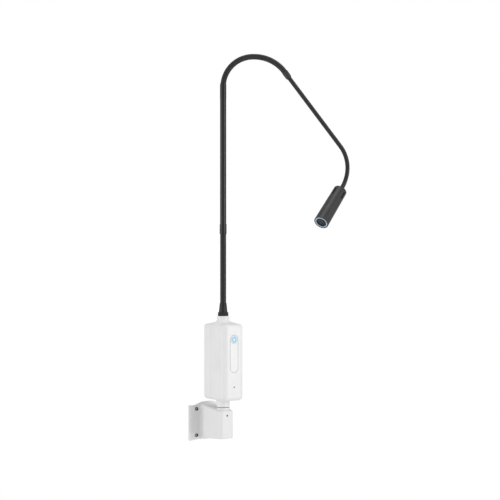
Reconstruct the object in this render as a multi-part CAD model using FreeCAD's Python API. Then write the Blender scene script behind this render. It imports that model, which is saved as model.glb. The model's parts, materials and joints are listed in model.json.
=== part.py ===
import FreeCAD
import Part
import math
import os

# Wall-mounted examination lamp: bracket, swivelling control housing, gooseneck arm and light head.
# Millimetres. +Z is up, the wall is the plane Y = 0 and the lamp stands in front of it, towards -Y.
# The origin lies on the bracket's back face, on its upright centre line.

# ---- fits -----------------------------------------------------------------------------------------
FIT = 0.05               # radial play between two pieces that are fixed together
RUNNING = 0.05           # radial play of the swivelling post in its liner
GAP = 0.3                # air between pieces that move past each other

# ---- wall bracket ---------------------------------------------------------------------------------
REACH = 78.0             # wall to swivel axis
PLATE_HALF_WIDTH = 57.0
PLATE_EAR_TOP = 50.8     # height of the plate's upper corners
PLATE_EAR_BOTTOM = -43.2
PLATE_DIP = 2.6          # how far the upper and lower edges dip between corner and body
PLATE_THICK = 4.5
PLATE_CORNER = 3.0
HUMP_TOP = 57.0          # crest of the plate's upper edge, behind the body
SCREW_SPACING_X = 70.0
SCREW_SPACING_Z = 68.0
SCREW_MIDDLE_Z = 4.5     # middle of the four wall screws
BODY_HALF_WIDTH = 23.0   # at the wall
NOSE_HALF_WIDTH = 20.0   # at the front
NOSE = 19.5              # swivel axis to front face
NOSE_CORNER = 8.0        # upright corner radius of the nose
BODY_TOP = 50.5          # at the wall
NOSE_TOP = 41.5          # at the front
BODY_BOTTOM = -37.5
NOSE_BOTTOM = -30.0
BODY_ROUND = 6.0         # rounding along the body's upper edges
BODY_UNDER_ROUND = 3.0
ROOT_FILLET = 6.0        # hollow between body and plate
CORE_WALL = 5.0          # metal left round the pocket cored from below
CORE_TOP = 34.0
CORE_CORNER = 5.0
CORE_STEP = 2.0          # extra metal beside the pocket, for the draft of the body's sides
BOSS_TOP = 48.1
LINER_WALL = 2.0
LINER_FLOOR = -25.0
BUSH_BORE = 2.5
BUSH_WALL = 1.4
BUSH_HEAD = 4.4
BUSH_HEAD_THICK = 1.0
LOCK_SCREW_Z = 28.2
LOCK_SCREW_RADIUS = 2.5
LOCK_SCREW_RECESS = 0.8
LOCK_SCREW_SOCKET = 2.5  # across flats and depth
WASHER_THICK = 1.4

# ---- post and collar ------------------------------------------------------------------------------
POST_RADIUS = 12.5
POST_WALL = 3.0
BOSS_RADIUS = POST_RADIUS + 3.9
WASHER_RADIUS = POST_RADIUS + 3.5
POST_FOOT_GAP = 1.0      # post end above the liner's floor
POST_ABOVE_FLOOR = 18.0  # post standing inside the housing
COLLAR_LIFT = 0.1        # air under the collar, so that it turns on the washer
GROOVE_DEPTH = 1.2       # lock-screw groove round the post
COLLAR_LENGTH = 19.0
COLLAR_RADIUS = POST_RADIUS + 4.0
COLLAR_MOUTH_RADIUS = POST_RADIUS + 7.4
COLLAR_CONE = 4.6
FLANGE_RADIUS = POST_RADIUS + 2.5   # post shoulder inside the collar
FLANGE_THICK = 3.0
NUT_HEIGHT = 6.0
NUT_ACROSS_FLATS = 2 * POST_RADIUS + 9.0

# ---- control housing ------------------------------------------------------------------------------
HOUSING_HALF_WIDTH = 31.0
HOUSING_HALF_DEPTH = 51.5
HOUSING_CORNER = 14.0
HOUSING_HEIGHT = 191.4   # floor to the flat under the shoulder
HOUSING_WALL = 2.6
HOUSING_FOOT_ROUND = 9.0
HOUSING_TOP_ROUND = 6.5
SHOULDER_INSET = 6.0
SHOULDER_RISE = 5.2
NECK_ROOT_RADIUS = 21.0
NECK_RADIUS = 15.4
NECK_HEIGHT = 20.4       # flat under the shoulder to the neck's top face
SEAM_BEHIND_AXIS = 12.0
LIP_HEIGHT = 3.0
LIP_THICK = 1.2
LIP_ROOT = 0.6           # how far the lip's root is let into the back shell's wall
SEAM_GROOVE_WIDTH = 0.5  # shadow line round the housing
SEAM_GROOVE_DEPTH = 0.6
COVER_SCREW_X = 20.0
COVER_SCREW_LOW = 17.0   # above the floor
COVER_SCREW_HIGH = HOUSING_HEIGHT - 17.4
COVER_PILLAR_RADIUS = 5.0
COVER_SCREW_POCKET = 20.0
COVER_SCREW_LENGTH = 28.0
COVER_SCREW_HEAD = 3.3
COVER_SCREW_HEAD_HEIGHT = 2.4
COVER_SCREW_SHANK = 1.7
COVER_SCREW_SOCKET = 2.5
COVER_RIB = 2.0          # web that ties each screw boss to the side wall
STRIP_HALF_WIDTH = 11.9
STRIP_LOW = 70.6         # above the floor
STRIP_HIGH = HOUSING_HEIGHT - 26.2
STRIP_THICK = 1.2
STRIP_GROOVE = 0.35
SENSOR_RADIUS = 10.4
SENSOR_THICK = 1.5
SENSOR_LEDGE = 2.5       # ledge behind the disc's edge
FRONT_SCREW_Z = 34.5     # above the floor
FRONT_SCREW_RADIUS = 1.9
FRONT_SCREW_RECESS = 0.6
FRONT_SCREW_LENGTH = 9.5
FRONT_SCREW_SOCKET = 1.8
FRONT_BOSS_RADIUS = 4.0
FRONT_BOSS_LENGTH = 9.0
SENSOR_BOARD = (24.0, 52.0, 1.6)
SENSOR_BOARD_STANDOFF = 4.0
SENSOR_PEG_RADIUS = 2.5
BOARD_MARGIN = 6.0       # board edge to the middle of its posts
SENSOR_EYE_RADIUS = 2.4
SENSOR_EYE_LENGTH = 2.5
DRIVER_BOARD = (48.0, HOUSING_HEIGHT - 53.4, 1.6)
DRIVER_BOARD_Y = 24.0    # behind the swivel axis
DRIVER_BOARD_FLOOR = 28.0
TRANSFORMER = (28.0, 18.0, 26.0)
TRANSFORMER_Z = 0.24 * DRIVER_BOARD[1]   # middles of the parts, above the board's lower edge
CAPACITOR_RADIUS = 6.0
CAPACITOR_LENGTH = 17.0
CAPACITOR_X = 9.5
CAPACITOR_Z = 0.45 * DRIVER_BOARD[1]
CHIP = (12.0, 3.0, 10.0)
CHIP_Z = (0.63 * DRIVER_BOARD[1], 0.74 * DRIVER_BOARD[1])
TERMINALS = (24.0, 10.0, 10.0)
TERMINALS_Z = 0.85 * DRIVER_BOARD[1]
LEAD_RADIUS = 1.4
LEAD_DROP = 8.0          # supply lead's end above the board's lower edge
OUTPUT_LEAD_RADIUS = 1.6
OUTPUT_LEAD_Z = 0.93 * DRIVER_BOARD[1]   # above the board's lower edge
RIBBON = (10.0, 1.0)
RIBBON_Z = 8.0           # below the sensor disc's middle
STANDOFF_X = 16.0
STANDOFF_RADIUS = 3.0
INLET_FLOOR = 15.0       # power inlet's centre above the floor
INLET_BODY = (17.0, 14.0, 11.5)
INLET_MOUTH = (13.0, 10.5, 7.5)
INLET_PIN_RADIUS = 0.9
INLET_PIN_LENGTH = 3.0
INLET_PIN_X = 3.0

# ---- arm: lengths along its centreline, measured from the neck's top face --------------------------
ARM_AZIMUTH = -34.0      # direction that the arm leans to, from +X, in degrees
FITTING_LENGTH = 18.0
FITTING_FLANGE_RADIUS = 10.4
FITTING_FLANGE = 4.0
FITTING_CUP_RADIUS = 9.1
STUB_RADIUS = 6.0
STUB_LENGTH = 19.0
STUB_BORE = 3.2
NECK_NUT_FLATS = 18.0
NECK_NUT_HEIGHT = 6.0
BOOT_RING_RADIUS = 13.25
BOOT_RING_HEIGHT = 9.6
BOOT_LENGTH = 33.1
BOOT_ROOT_RADIUS = 10.7
BOOT_TIP_RADIUS = 8.7
BOOT_CHAMFER = 0.9
BOOT_THROAT = 2.2        # height of the groove above the boot's ring
SLEEVE_SEAT = 8.0        # lower gooseneck stands this far above the neck
LOWER_FLEX = 176.3       # free lower gooseneck, boot to ferrule
LOWER_RADIUS = 7.9
LOWER_CORE_RADIUS = 4.9
LOWER_FERRULE = 24.7
FERRULE_RADIUS = 8.85
FERRULE_WEB = 3.0        # metal between the ferrule's two sockets
FERRULE_ROUND = 0.6
TUBE_VISIBLE = 320.5
TUBE_RADIUS = 7.9
TUBE_WALL = 1.5
UPPER_FERRULE = 33.5
UPPER_FERRULE_RADIUS = 8.15
UPPER_LIP = 4.5
UPPER_LIP_RADIUS = 7.75
UPPER_SLEEVE_SEAT = 10.0 # how deep the gooseneck's sleeve enters the ferrule under its lip
CREST_BEFORE_LIP = 3.5   # the first bend begins this far under the lip
SPIGOT = 18.0            # how deep ferrules and tubes enter each other
CORE_SEAT = 9.0          # how deep a gooseneck's steel core enters its end fitting
UPPER_RADIUS = 7.35
UPPER_CORE_RADIUS = 4.6
CORE_WALL_THICK = 1.3
CREST_RADIUS = 76.3      # first bend, from upright to level
CREST_FLAT = 3.0
FALL_RADIUS = 96.6       # second bend, from level to the slope
FALL_ANGLE = 53.13
ADAPTER_LENGTH = 20.0
ADAPTER_RADIUS = 7.7
ADAPTER_STRAIGHT = 13.0
ADAPTER_CHAMFER = 1.5
ADAPTER_TIP_RADIUS = 6.6
THIN_RADIUS = 5.6
THIN_BORE = 3.0
THIN_SEAT = 6.0          # how deep the thin gooseneck enters the adapter
GLAND_SEAT = 9.6         # how deep it enters the head
SLOPE_LENGTH = 236.5     # straight slope, adapter included
ELBOW_RADIUS = 92.4      # third bend, still in the arm's plane
ELBOW_ANGLE = 51.1
WRIST_RADIUS = 48.0      # last bend, which turns the head forward
WRIST_ANGLE = 37.3
WRIST_ROLL = -65.4
WRIST_STRAIGHT = 12.0
LOWER_SWING = 35.0       # most that one lower joint bends, in degrees
UPPER_SWING = 45.0
THIN_SWING = 35.0
LOWER_JOINTS = 2
UPPER_JOINTS = 3
THIN_JOINTS = 5

# ---- light head: lengths along its axis, from the rear face ----------------------------------------
HEAD_LENGTH = 123.0
HEAD_ROLL = 20.0
CAP_LENGTH = 39.0
CAP_REAR_RADIUS = 17.2
CAP_FRONT_RADIUS = 17.7
CAP_CHAMFER = 2.6
CAP_WALL = 3.0
CAP_FLOOR = 4.0
CAP_SPIGOT = 6.0
BARREL_FRONT_RADIUS = 18.7
BARREL_BORE = 16.0
BARREL_SHOULDER = 0.8    # inward step that the heat sink's plate rests on
BARREL_CHAMFER = 0.7
VENT_COUNT = 4
VENT_WIDTH = 3.8
VENT_START = 10.0
VENT_END = 34.0
GLAND_RADIUS = 7.4
GLAND_PROUD = 2.4
GLAND_LENGTH = 13.0
GLAND_CHAMFER = 0.6
GLAND_STOP = 1.0         # inner lip at the gland's end, which stops the gooseneck
SINK_LENGTH = 69.7
SINK_CORE_RADIUS = 7.0
SINK_BORE = 2.6
SINK_FIN_RADIUS = BARREL_BORE - 2.4
SINK_FIN_COUNT = 12
SINK_FIN_THICK = 1.2
SINK_PLATE = 5.0
SINK_FIN_SETBACK = 1.0
LEAD_X = 1.1
HEAD_LEAD_RADIUS = 0.9
HEAD_LEAD_START = 2.0
BOARD_SCREW_COUNT = 3
BOARD_SCREW_CIRCLE = 9.5
BOARD_SCREW_RADIUS = 1.6
BOARD_SCREW_HEIGHT = 1.3
LED_BOARD_RADIUS = BARREL_BORE - 3.0
LED_BOARD_THICK = 1.6
EMITTER_HALF = 3.5
EMITTER_HEIGHT = 1.6
EMITTER_DOME = 2.6
LENS_REAR_RADIUS = 5.5
LENS_FRONT_RADIUS = 12.2
LENS_LENGTH = 22.0
LENS_FLANGE = 2.0
HOLDER_WALL = 2.0
LIP_INNER_RADIUS = 11.2
RING_INNER_RADIUS = 13.2
RING_OUTER_RADIUS = 17.2
RING_DEPTH = 6.0
RING_RECESS = 0.8
WINDOW_THICK = 2.0
WINDOW_RECESS = 2.2
SEAL_RADIUS = 0.8
CABLE_RADIUS = 2.3

UP = FreeCAD.Vector(0, 0, 1)
TO_WALL = FreeCAD.Vector(0, 1, 0)
SWIVEL = FreeCAD.Vector(0, -REACH, 0)

# heights worked out from the stack on the swivel axis
COLLAR_BOTTOM = BOSS_TOP + WASHER_THICK + COLLAR_LIFT
FLOOR = COLLAR_BOTTOM + COLLAR_LENGTH
HOUSING_TOP = FLOOR + HOUSING_HEIGHT
NECK_TOP = HOUSING_TOP + NECK_HEIGHT
FRONT_FACE = -REACH - HOUSING_HALF_DEPTH
BACK_FACE = -REACH + HOUSING_HALF_DEPTH
SEAM = -REACH + SEAM_BEHIND_AXIS
COVER_SCREW_ENGAGED = COVER_SCREW_LENGTH - (BACK_FACE - COVER_SCREW_POCKET - SEAM)


# ---- small shape helpers ----------------------------------------------------------------------------
def vec(x, y, z):
    return FreeCAD.Vector(x, y, z)


def rod(radius, start, end):
    """A round bar between two points."""
    along = end - start
    return Part.makeCylinder(radius, along.Length, start, along)


def ring(outer, inner, start, end):
    """A round tube between two points."""
    return rod(outer, start, end).cut(rod(inner, start, end))


def on_swivel(z):
    """The point at height z on the swivel axis."""
    return SWIVEL + UP * z


def box(x0, x1, y0, y1, z0, z1):
    return Part.makeBox(x1 - x0, y1 - y0, z1 - z0, vec(x0, y0, z0))


def prism(points, direction):
    """A solid whose outline joins the points with straight edges."""
    return Part.Face(Part.makePolygon(points + points[:1])).extrude(direction)


def lathe(points, base, along=UP):
    """Turn an outline of (radius, height) pairs about the axis through base."""
    outline = Part.makePolygon([vec(r, 0, z) for r, z in points + points[:1]])
    solid = Part.Face(outline).revolve(vec(0, 0, 0), UP, 360)
    return placed(solid, base, along)


def placed(shape, base, along):
    """Move a shape modelled upright at the origin so that it stands at base along a direction."""
    moved = shape.copy()
    moved.Placement = FreeCAD.Placement(base, FreeCAD.Rotation(UP, along)) * shape.Placement
    return moved


def fused(shapes):
    """Join shapes that touch or overlap into one clean solid."""
    joined = shapes[0].fuse(shapes[1:])
    return joined.removeSplitter()


def hexagon(across_flats, height, base):
    """An upright hexagonal prism."""
    corner = across_flats / math.sqrt(3)
    points = []
    for k in range(6):
        turn = math.radians(60 * k)
        points.append(base + vec(corner * math.cos(turn), corner * math.sin(turn), 0))
    return prism(points, UP * height)


def rounded_rectangle(half_x, half_y, radius, z):
    """A level rounded rectangle round the swivel axis, as eight edges."""
    cx = half_x - radius
    cy = half_y - radius
    slant = radius * math.sqrt(0.5)
    edges = []
    quarters = [(1, -1), (1, 1), (-1, 1), (-1, -1)]
    ends = []
    for sx, sy in quarters:
        centre = on_swivel(z) + vec(sx * cx, sy * cy, 0)
        side = centre + vec(sx * radius, 0, 0)
        face = centre + vec(0, sy * radius, 0)
        middle = centre + vec(sx * slant, sy * slant, 0)
        first, last = (face, side) if sx * sy < 0 else (side, face)
        ends.append((first, middle, last))
    for k, (first, middle, last) in enumerate(ends):
        edges.append(Part.Arc(first, middle, last).toShape())
        edges.append(Part.makeLine(last, ends[(k + 1) % 4][0]))
    return Part.Wire(edges)


def level_edges(shape, z):
    """The edges of a shape that lie in the plane at height z."""
    return [e for e in shape.Edges if abs(e.BoundBox.ZMax - z) < 1e-4 and abs(e.BoundBox.ZMin - z) < 1e-4]


def machine_screw(head_radius, head_height, shank_radius, length, socket_flats):
    """A socket screw standing on its head's underside, shank pointing up."""
    head = Part.makeCylinder(head_radius, head_height, vec(0, 0, -head_height))
    shank = Part.makeCylinder(shank_radius, length)
    socket = hexagon(socket_flats, head_height * 0.6, vec(0, 0, -head_height))
    return fused([head, shank]).cut(socket)


# ---- centreline of the arm --------------------------------------------------------------------------
class Station:
    """A place on the centreline: its point, its direction and the axis that the arm bends about."""

    def __init__(self, point, along, axis):
        self.point = point
        self.along = along
        self.axis = axis

    def turned(self, vector, axis, degrees):
        return FreeCAD.Rotation(axis, degrees).multVec(vector)

    def rolled(self, degrees):
        """The same place with its bending axis turned about the arm."""
        return Station(self.point, self.along, self.turned(self.axis, self.along, degrees))

    def side_axis(self):
        """The axis square to both the arm and its bending axis."""
        return self.along.cross(self.axis)


class Run:
    """One straight or evenly bent stretch of the centreline."""

    def __init__(self, length, radius=None, roll=0.0):
        self.length = length
        self.radius = radius
        self.roll = roll

    def centre(self, start):
        return start.point + start.axis.cross(start.along) * self.radius

    def turn(self, length):
        return math.degrees(length / self.radius)

    def station(self, start, length):
        """The station at a length along this run."""
        if self.radius is None:
            return Station(start.point + start.along * length, start.along, start.axis)
        rotation = FreeCAD.Rotation(start.axis, self.turn(length))
        centre = self.centre(start)
        point = centre + rotation.multVec(start.point - centre)
        return Station(point, rotation.multVec(start.along), start.axis)

    def bar(self, start, length, radius):
        """A solid bar of the given radius that follows this run."""
        section = Part.Face(Part.Wire(Part.makeCircle(radius, start.point, start.along)))
        if self.radius is None:
            return section.extrude(start.along * length)
        return section.revolve(self.centre(start), start.axis, self.turn(length))


class Centreline:
    """The arm's centreline: runs laid end to end."""

    def __init__(self, start, runs):
        self.stretches = []
        distance = 0.0
        place = start
        for run in runs:
            place = place.rolled(run.roll)
            self.stretches.append((distance, place, run))
            place = run.station(place, run.length)
            distance += run.length
        self.length = distance

    def station(self, distance):
        for begins, place, run in self.stretches:
            if distance <= begins + run.length + 1e-9:
                return run.station(place, max(distance - begins, 0.0))
        return run.station(place, run.length)

    def bar(self, start, end, radius):
        """A solid bar that follows the centreline between two distances."""
        bars = []
        for begins, place, run in self.stretches:
            low = max(start, begins)
            high = min(end, begins + run.length)
            if high - low > 1e-6:
                bars.append(run.bar(run.station(place, low - begins), high - low, radius))
        return bars[0] if len(bars) == 1 else fused(bars)

    def pipe(self, start, end, outer, inner):
        return self.bar(start, end, outer).cut(self.bar(start, end, inner))


def arc_length(radius, degrees):
    return radius * math.radians(degrees)


LEAN = vec(math.cos(math.radians(ARM_AZIMUTH)), math.sin(math.radians(ARM_AZIMUTH)), 0)
ARM_START = Station(on_swivel(NECK_TOP), UP, UP.cross(LEAN))

# distances along the centreline
LOWER_START = BOOT_LENGTH
FERRULE_START = LOWER_START + LOWER_FLEX
FERRULE_END = FERRULE_START + LOWER_FERRULE
TUBE_START = FERRULE_START + CORE_SEAT + FERRULE_WEB
TUBE_END = FERRULE_END + TUBE_VISIBLE
UPPER_FERRULE_END = TUBE_END + UPPER_FERRULE
LIP_END = UPPER_FERRULE_END + UPPER_LIP
UPPER_SEAT = UPPER_FERRULE_END - UPPER_SLEEVE_SEAT
CREST_START = UPPER_FERRULE_END - CREST_BEFORE_LIP
CREST_ARC = arc_length(CREST_RADIUS, 90)
FALL_ARC = arc_length(FALL_RADIUS, FALL_ANGLE)
ADAPTER_START = CREST_START + CREST_ARC + CREST_FLAT + FALL_ARC
ADAPTER_END = ADAPTER_START + ADAPTER_LENGTH

ARM = Centreline(
    ARM_START,
    [
        Run(CREST_START),
        Run(CREST_ARC, CREST_RADIUS),
        Run(CREST_FLAT),
        Run(FALL_ARC, FALL_RADIUS),
        Run(SLOPE_LENGTH),
        Run(arc_length(ELBOW_RADIUS, ELBOW_ANGLE), ELBOW_RADIUS),
        Run(arc_length(WRIST_RADIUS, WRIST_ANGLE), WRIST_RADIUS, WRIST_ROLL),
        Run(WRIST_STRAIGHT + GLAND_SEAT),
    ],
)
HEAD_START = ARM.length - GLAND_SEAT


def spread(start, end, count):
    """Joint distances spaced evenly over a flexible stretch, half a pitch in from its ends."""
    pitch = (end - start) / count
    return [start + pitch * (k + 0.5) for k in range(count)]


LOWER_PIVOTS = spread(LOWER_START, FERRULE_START, LOWER_JOINTS)
UPPER_PIVOTS = spread(LIP_END, ADAPTER_START, UPPER_JOINTS)
THIN_PIVOTS = spread(ADAPTER_END, HEAD_START, THIN_JOINTS)


# ---- gooseneck links: each ends in a cup that the next link's ball turns in --------------------------
def cup_radius(radius, swing, tightest):
    """The cup clears a ball-ended link of the same radius when it swings, on a centreline that curves."""
    return radius / math.cos(math.radians(swing / 2)) + radius ** 2 / (2 * tightest) + GAP


def ball_end(distance, radius):
    """The half ball that closes a link behind its pivot."""
    place = ARM.station(distance)
    return Part.makeSphere(radius, place.point, place.along, -90, 0, 360)


def cup(distance, radius):
    place = ARM.station(distance)
    return Part.makeSphere(radius, place.point, place.along)


def link(start, end, radius, bore, cup_size, has_ball, has_cup):
    """One hollow link of a gooseneck between two distances."""
    outer = ARM.bar(start, end, radius)
    if has_ball:
        outer = fused([outer, ball_end(start, radius)])
        place = ARM.station(start)
        passage = rod(bore, place.point - place.along * (radius + 1), place.point)
        outer = outer.cut(passage)
    hollow = outer.cut(ARM.bar(start, end, bore))
    return hollow.cut(cup(end, cup_size)) if has_cup else hollow


def gooseneck(name, start, end, pivots, radius, bore, cup_size):
    """Every link of one flexible stretch, as {node name: solid}."""
    stops = [start] + pivots + [end]
    links = {}
    for k in range(len(stops) - 1):
        links[f"{name}_{k + 1}"] = link(
            stops[k], stops[k + 1], radius, bore, cup_size, k > 0, k < len(stops) - 2
        )
    return links


def cores(name, start, end, pivots, radius, cup_size):
    """The steel core inside each link of a stretch, as {node name: solid}."""
    stops = [start] + pivots + [end]
    nodes = {}
    for k in range(len(stops) - 1):
        core = ARM.pipe(stops[k], stops[k + 1], radius, radius - CORE_WALL_THICK)
        nodes[f"{name}_{k + 1}"] = core.cut(cup(stops[k + 1], cup_size)) if k < len(stops) - 2 else core
    return nodes


LOWER_CUP = cup_radius(LOWER_RADIUS, LOWER_SWING, LOWER_FLEX)
UPPER_CUP = cup_radius(UPPER_RADIUS, UPPER_SWING, CREST_RADIUS)
THIN_CUP = cup_radius(THIN_RADIUS, THIN_SWING, WRIST_RADIUS)


# ---- wall bracket -----------------------------------------------------------------------------------
def plate(thick):
    """The screw plate's outline as a slab: dipped edges between its corners, a crest behind the body."""
    w = PLATE_HALF_WIDTH
    dip = PLATE_EAR_TOP - PLATE_DIP
    low = PLATE_EAR_BOTTOM + PLATE_DIP
    body = BODY_HALF_WIDTH
    crest = HUMP_TOP - 1
    half_top = [(w, PLATE_EAR_TOP), (0.6 * w + 0.4 * body, dip), (body + 6, dip + 4), (body - 8, crest)]
    half_low = [(w, PLATE_EAR_BOTTOM), (0.5 * w + 0.5 * body, low)]
    top = half_top + [(0, HUMP_TOP)] + [(-x, z) for x, z in reversed(half_top)]
    bottom = half_low + [(0, low)] + [(-x, z) for x, z in reversed(half_low)]
    edges = []
    for outline in (top, bottom):
        curve = Part.BSplineCurve()
        curve.interpolate([vec(x, 0, z) for x, z in outline])
        edges.append(curve.toShape())
    for side in (w, -w):
        edges.append(Part.makeLine(vec(side, 0, PLATE_EAR_TOP), vec(side, 0, PLATE_EAR_BOTTOM)))
    face = Part.Face(Part.Wire(Part.__sortEdges__(edges)))
    solid = face.extrude(vec(0, -thick, 0))
    corners = [e for e in solid.Edges if is_plate_corner(e)]
    return solid.makeFillet(PLATE_CORNER, corners)


def is_plate_corner(edge):
    """True for the four short edges through the plate's corners."""
    bounds = edge.BoundBox
    at_side = abs(abs(bounds.XMin) - PLATE_HALF_WIDTH) < 1e-3 and bounds.XLength < 1e-3
    return at_side and bounds.ZLength < 1e-3


def body_outline():
    """The bracket body seen from above, a tapered tongue with rounded front corners."""
    front = -REACH - NOSE
    centre = vec(NOSE_HALF_WIDTH - NOSE_CORNER, front + NOSE_CORNER, 0)
    root = vec(BODY_HALF_WIDTH, -1.0, 0)
    away = root - centre
    facing = math.atan2(away.y, away.x) - math.acos(NOSE_CORNER / away.Length)
    halfway = (facing - math.pi / 2) / 2
    side = centre + vec(math.cos(facing), math.sin(facing), 0) * NOSE_CORNER
    bend = centre + vec(math.cos(halfway), math.sin(halfway), 0) * NOSE_CORNER
    face = centre - TO_WALL * NOSE_CORNER
    other = [vec(-p.x, p.y, 0) for p in (root, side, bend, face)]
    return Part.Wire(
        [
            Part.makeLine(root, side),
            Part.Arc(side, bend, face).toShape(),
            Part.makeLine(face, other[3]),
            Part.Arc(other[3], other[2], other[1]).toShape(),
            Part.makeLine(other[1], other[0]),
            Part.makeLine(other[0], root),
        ]
    )


def sloped_cutter(wall_z, nose_z, up):
    """A block above or below the plane that falls from the wall to the nose."""
    reach = REACH + NOSE
    slope = (nose_z - wall_z) / reach
    far = 200.0 if up else -200.0
    points = [
        vec(-100, 20, wall_z - 20 * slope),
        vec(-100, -reach - 20, wall_z + (reach + 20) * slope),
        vec(-100, -reach - 20, far),
        vec(-100, 20, far),
    ]
    return prism(points, vec(200, 0, 0))


def bracket_body():
    outline = body_outline()
    outline.translate(vec(0, 0, BODY_BOTTOM - 20))
    block = Part.Face(outline).extrude(UP * (BODY_TOP - BODY_BOTTOM + 40))
    block = block.cut(sloped_cutter(BODY_TOP, NOSE_TOP, True))
    block = block.cut(sloped_cutter(BODY_BOTTOM, NOSE_BOTTOM, False))
    middle = (BODY_TOP + BODY_BOTTOM) / 2
    upper = [e for e in block.Edges if is_rim(e) and e.BoundBox.ZMin > middle]
    lower = [e for e in block.Edges if is_rim(e) and e.BoundBox.ZMax < middle]
    block = block.makeFillet(BODY_ROUND, upper)
    return block.makeFillet(BODY_UNDER_ROUND, lower) if lower else block


def is_rim(edge):
    """True for the edges round the body's sloped faces, apart from those at the wall and the uprights."""
    bounds = edge.BoundBox
    return bounds.YMin < -2.0 and (bounds.XLength + bounds.YLength > 1.0)


def is_root(edge):
    """True for the edges where the body meets the plate's face."""
    bounds = edge.BoundBox
    on_face = abs(bounds.YMin + PLATE_THICK) < 1e-3 and bounds.YLength < 1e-3
    return on_face and max(-bounds.XMin, bounds.XMax) < BODY_HALF_WIDTH + 1


def screw_places():
    half_x = SCREW_SPACING_X / 2
    half_z = SCREW_SPACING_Z / 2
    heights = (SCREW_MIDDLE_Z - half_z, SCREW_MIDDLE_Z + half_z)
    return [vec(x, 0, z) for x in (-half_x, half_x) for z in heights]


def bracket_casting():
    wide = 2 * PLATE_HALF_WIDTH
    casting = fused([box(-wide, wide, -PLATE_THICK, 0, -wide, wide), bracket_body()])
    casting = casting.makeFillet(ROOT_FILLET, [e for e in casting.Edges if is_root(e)])
    root_end = PLATE_THICK + ROOT_FILLET
    outline = plate(root_end + 2)
    outline.translate(TO_WALL)
    casting = casting.cut(box(-wide - 1, wide + 1, -root_end, 2, -wide - 1, wide + 1).cut(outline))
    casting = casting.fuse(rod(BOSS_RADIUS, on_swivel(0), on_swivel(BOSS_TOP))).removeSplitter()
    liner_outer = POST_RADIUS + RUNNING + LINER_WALL
    core_half = BODY_HALF_WIDTH - CORE_WALL - CORE_STEP
    core_front = -REACH + liner_outer + CORE_WALL
    pocket = box(-core_half, core_half, core_front, -PLATE_THICK - CORE_WALL, BODY_BOTTOM - 30, CORE_TOP)
    uprights = [e for e in pocket.Edges if e.BoundBox.ZLength > 10]
    casting = casting.cut(pocket.makeFillet(CORE_CORNER, uprights))
    casting = casting.cut(rod(liner_outer + FIT, on_swivel(LINER_FLOOR), on_swivel(BOSS_TOP + 1)))
    for place in screw_places():
        casting = casting.cut(rod(BUSH_BORE + BUSH_WALL + FIT, place + vec(0, 1, 0), place - TO_WALL * 20))
    front = vec(0, -REACH - NOSE - 1, LOCK_SCREW_Z)
    return casting.cut(rod(LOCK_SCREW_RADIUS + FIT, front, vec(0, -REACH, LOCK_SCREW_Z)))


def wall_bushes():
    """Sleeves that guide the four wall screws."""
    bushes = []
    for place in screw_places():
        face = place - TO_WALL * PLATE_THICK
        body = rod(BUSH_BORE + BUSH_WALL, place, face)
        head = rod(BUSH_HEAD, face, face - TO_WALL * BUSH_HEAD_THICK)
        through = rod(BUSH_BORE, place + TO_WALL, face - TO_WALL * 5)
        bushes.append(body.fuse(head).removeSplitter().cut(through))
    return Part.makeCompound(bushes)


def socket_liner():
    bore = POST_RADIUS + RUNNING
    floor = LINER_FLOOR + LINER_WALL
    cup_shape = rod(bore + LINER_WALL, on_swivel(LINER_FLOOR), on_swivel(BOSS_TOP))
    cup_shape = cup_shape.cut(rod(bore, on_swivel(floor), on_swivel(BOSS_TOP + 1)))
    hole = rod(LOCK_SCREW_RADIUS + FIT, vec(0, -REACH - 30, LOCK_SCREW_Z), vec(0, -REACH, LOCK_SCREW_Z))
    return cup_shape.cut(hole)


def bracket_set_screw():
    outer = vec(0, -REACH - NOSE + LOCK_SCREW_RECESS, LOCK_SCREW_Z)
    tip = vec(0, -REACH - POST_RADIUS + GROOVE_DEPTH - GAP, LOCK_SCREW_Z)
    socket = placed(hexagon(LOCK_SCREW_SOCKET, LOCK_SCREW_SOCKET, vec(0, 0, 0)), outer, TO_WALL)
    return rod(LOCK_SCREW_RADIUS, outer, tip).cut(socket)


def swivel_washer():
    return ring(WASHER_RADIUS, POST_RADIUS + GAP, on_swivel(BOSS_TOP), on_swivel(BOSS_TOP + WASHER_THICK))


# ---- post and collar --------------------------------------------------------------------------------
def post_tube():
    foot = LINER_FLOOR + LINER_WALL + POST_FOOT_GAP
    top = FLOOR + POST_ABOVE_FLOOR
    post = rod(POST_RADIUS, on_swivel(foot), on_swivel(top))
    post = post.fuse(rod(FLANGE_RADIUS, on_swivel(FLOOR - FLANGE_THICK), on_swivel(FLOOR))).removeSplitter()
    groove_half = LOCK_SCREW_RADIUS + GAP
    low = on_swivel(LOCK_SCREW_Z - groove_half)
    high = on_swivel(LOCK_SCREW_Z + groove_half)
    groove = ring(POST_RADIUS + 1, POST_RADIUS - GROOVE_DEPTH, low, high)
    bore = rod(POST_RADIUS - POST_WALL, on_swivel(foot - 1), on_swivel(top + 1))
    return post.cut(groove).cut(bore)


def post_collar():
    profile = [
        (POST_RADIUS + FIT, 0),
        (COLLAR_RADIUS, 0),
        (COLLAR_RADIUS, COLLAR_LENGTH - COLLAR_CONE),
        (COLLAR_MOUTH_RADIUS, COLLAR_LENGTH),
        (FLANGE_RADIUS + FIT, COLLAR_LENGTH),
        (FLANGE_RADIUS + FIT, COLLAR_LENGTH - FLANGE_THICK - FIT),
        (POST_RADIUS + FIT, COLLAR_LENGTH - FLANGE_THICK - FIT),
    ]
    return lathe(profile, on_swivel(COLLAR_BOTTOM))


def post_nut():
    base = FLOOR + HOUSING_WALL
    nut = hexagon(NUT_ACROSS_FLATS, NUT_HEIGHT, on_swivel(base))
    return nut.cut(rod(POST_RADIUS + FIT, on_swivel(base - 1), on_swivel(base + NUT_HEIGHT + 1)))


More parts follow.
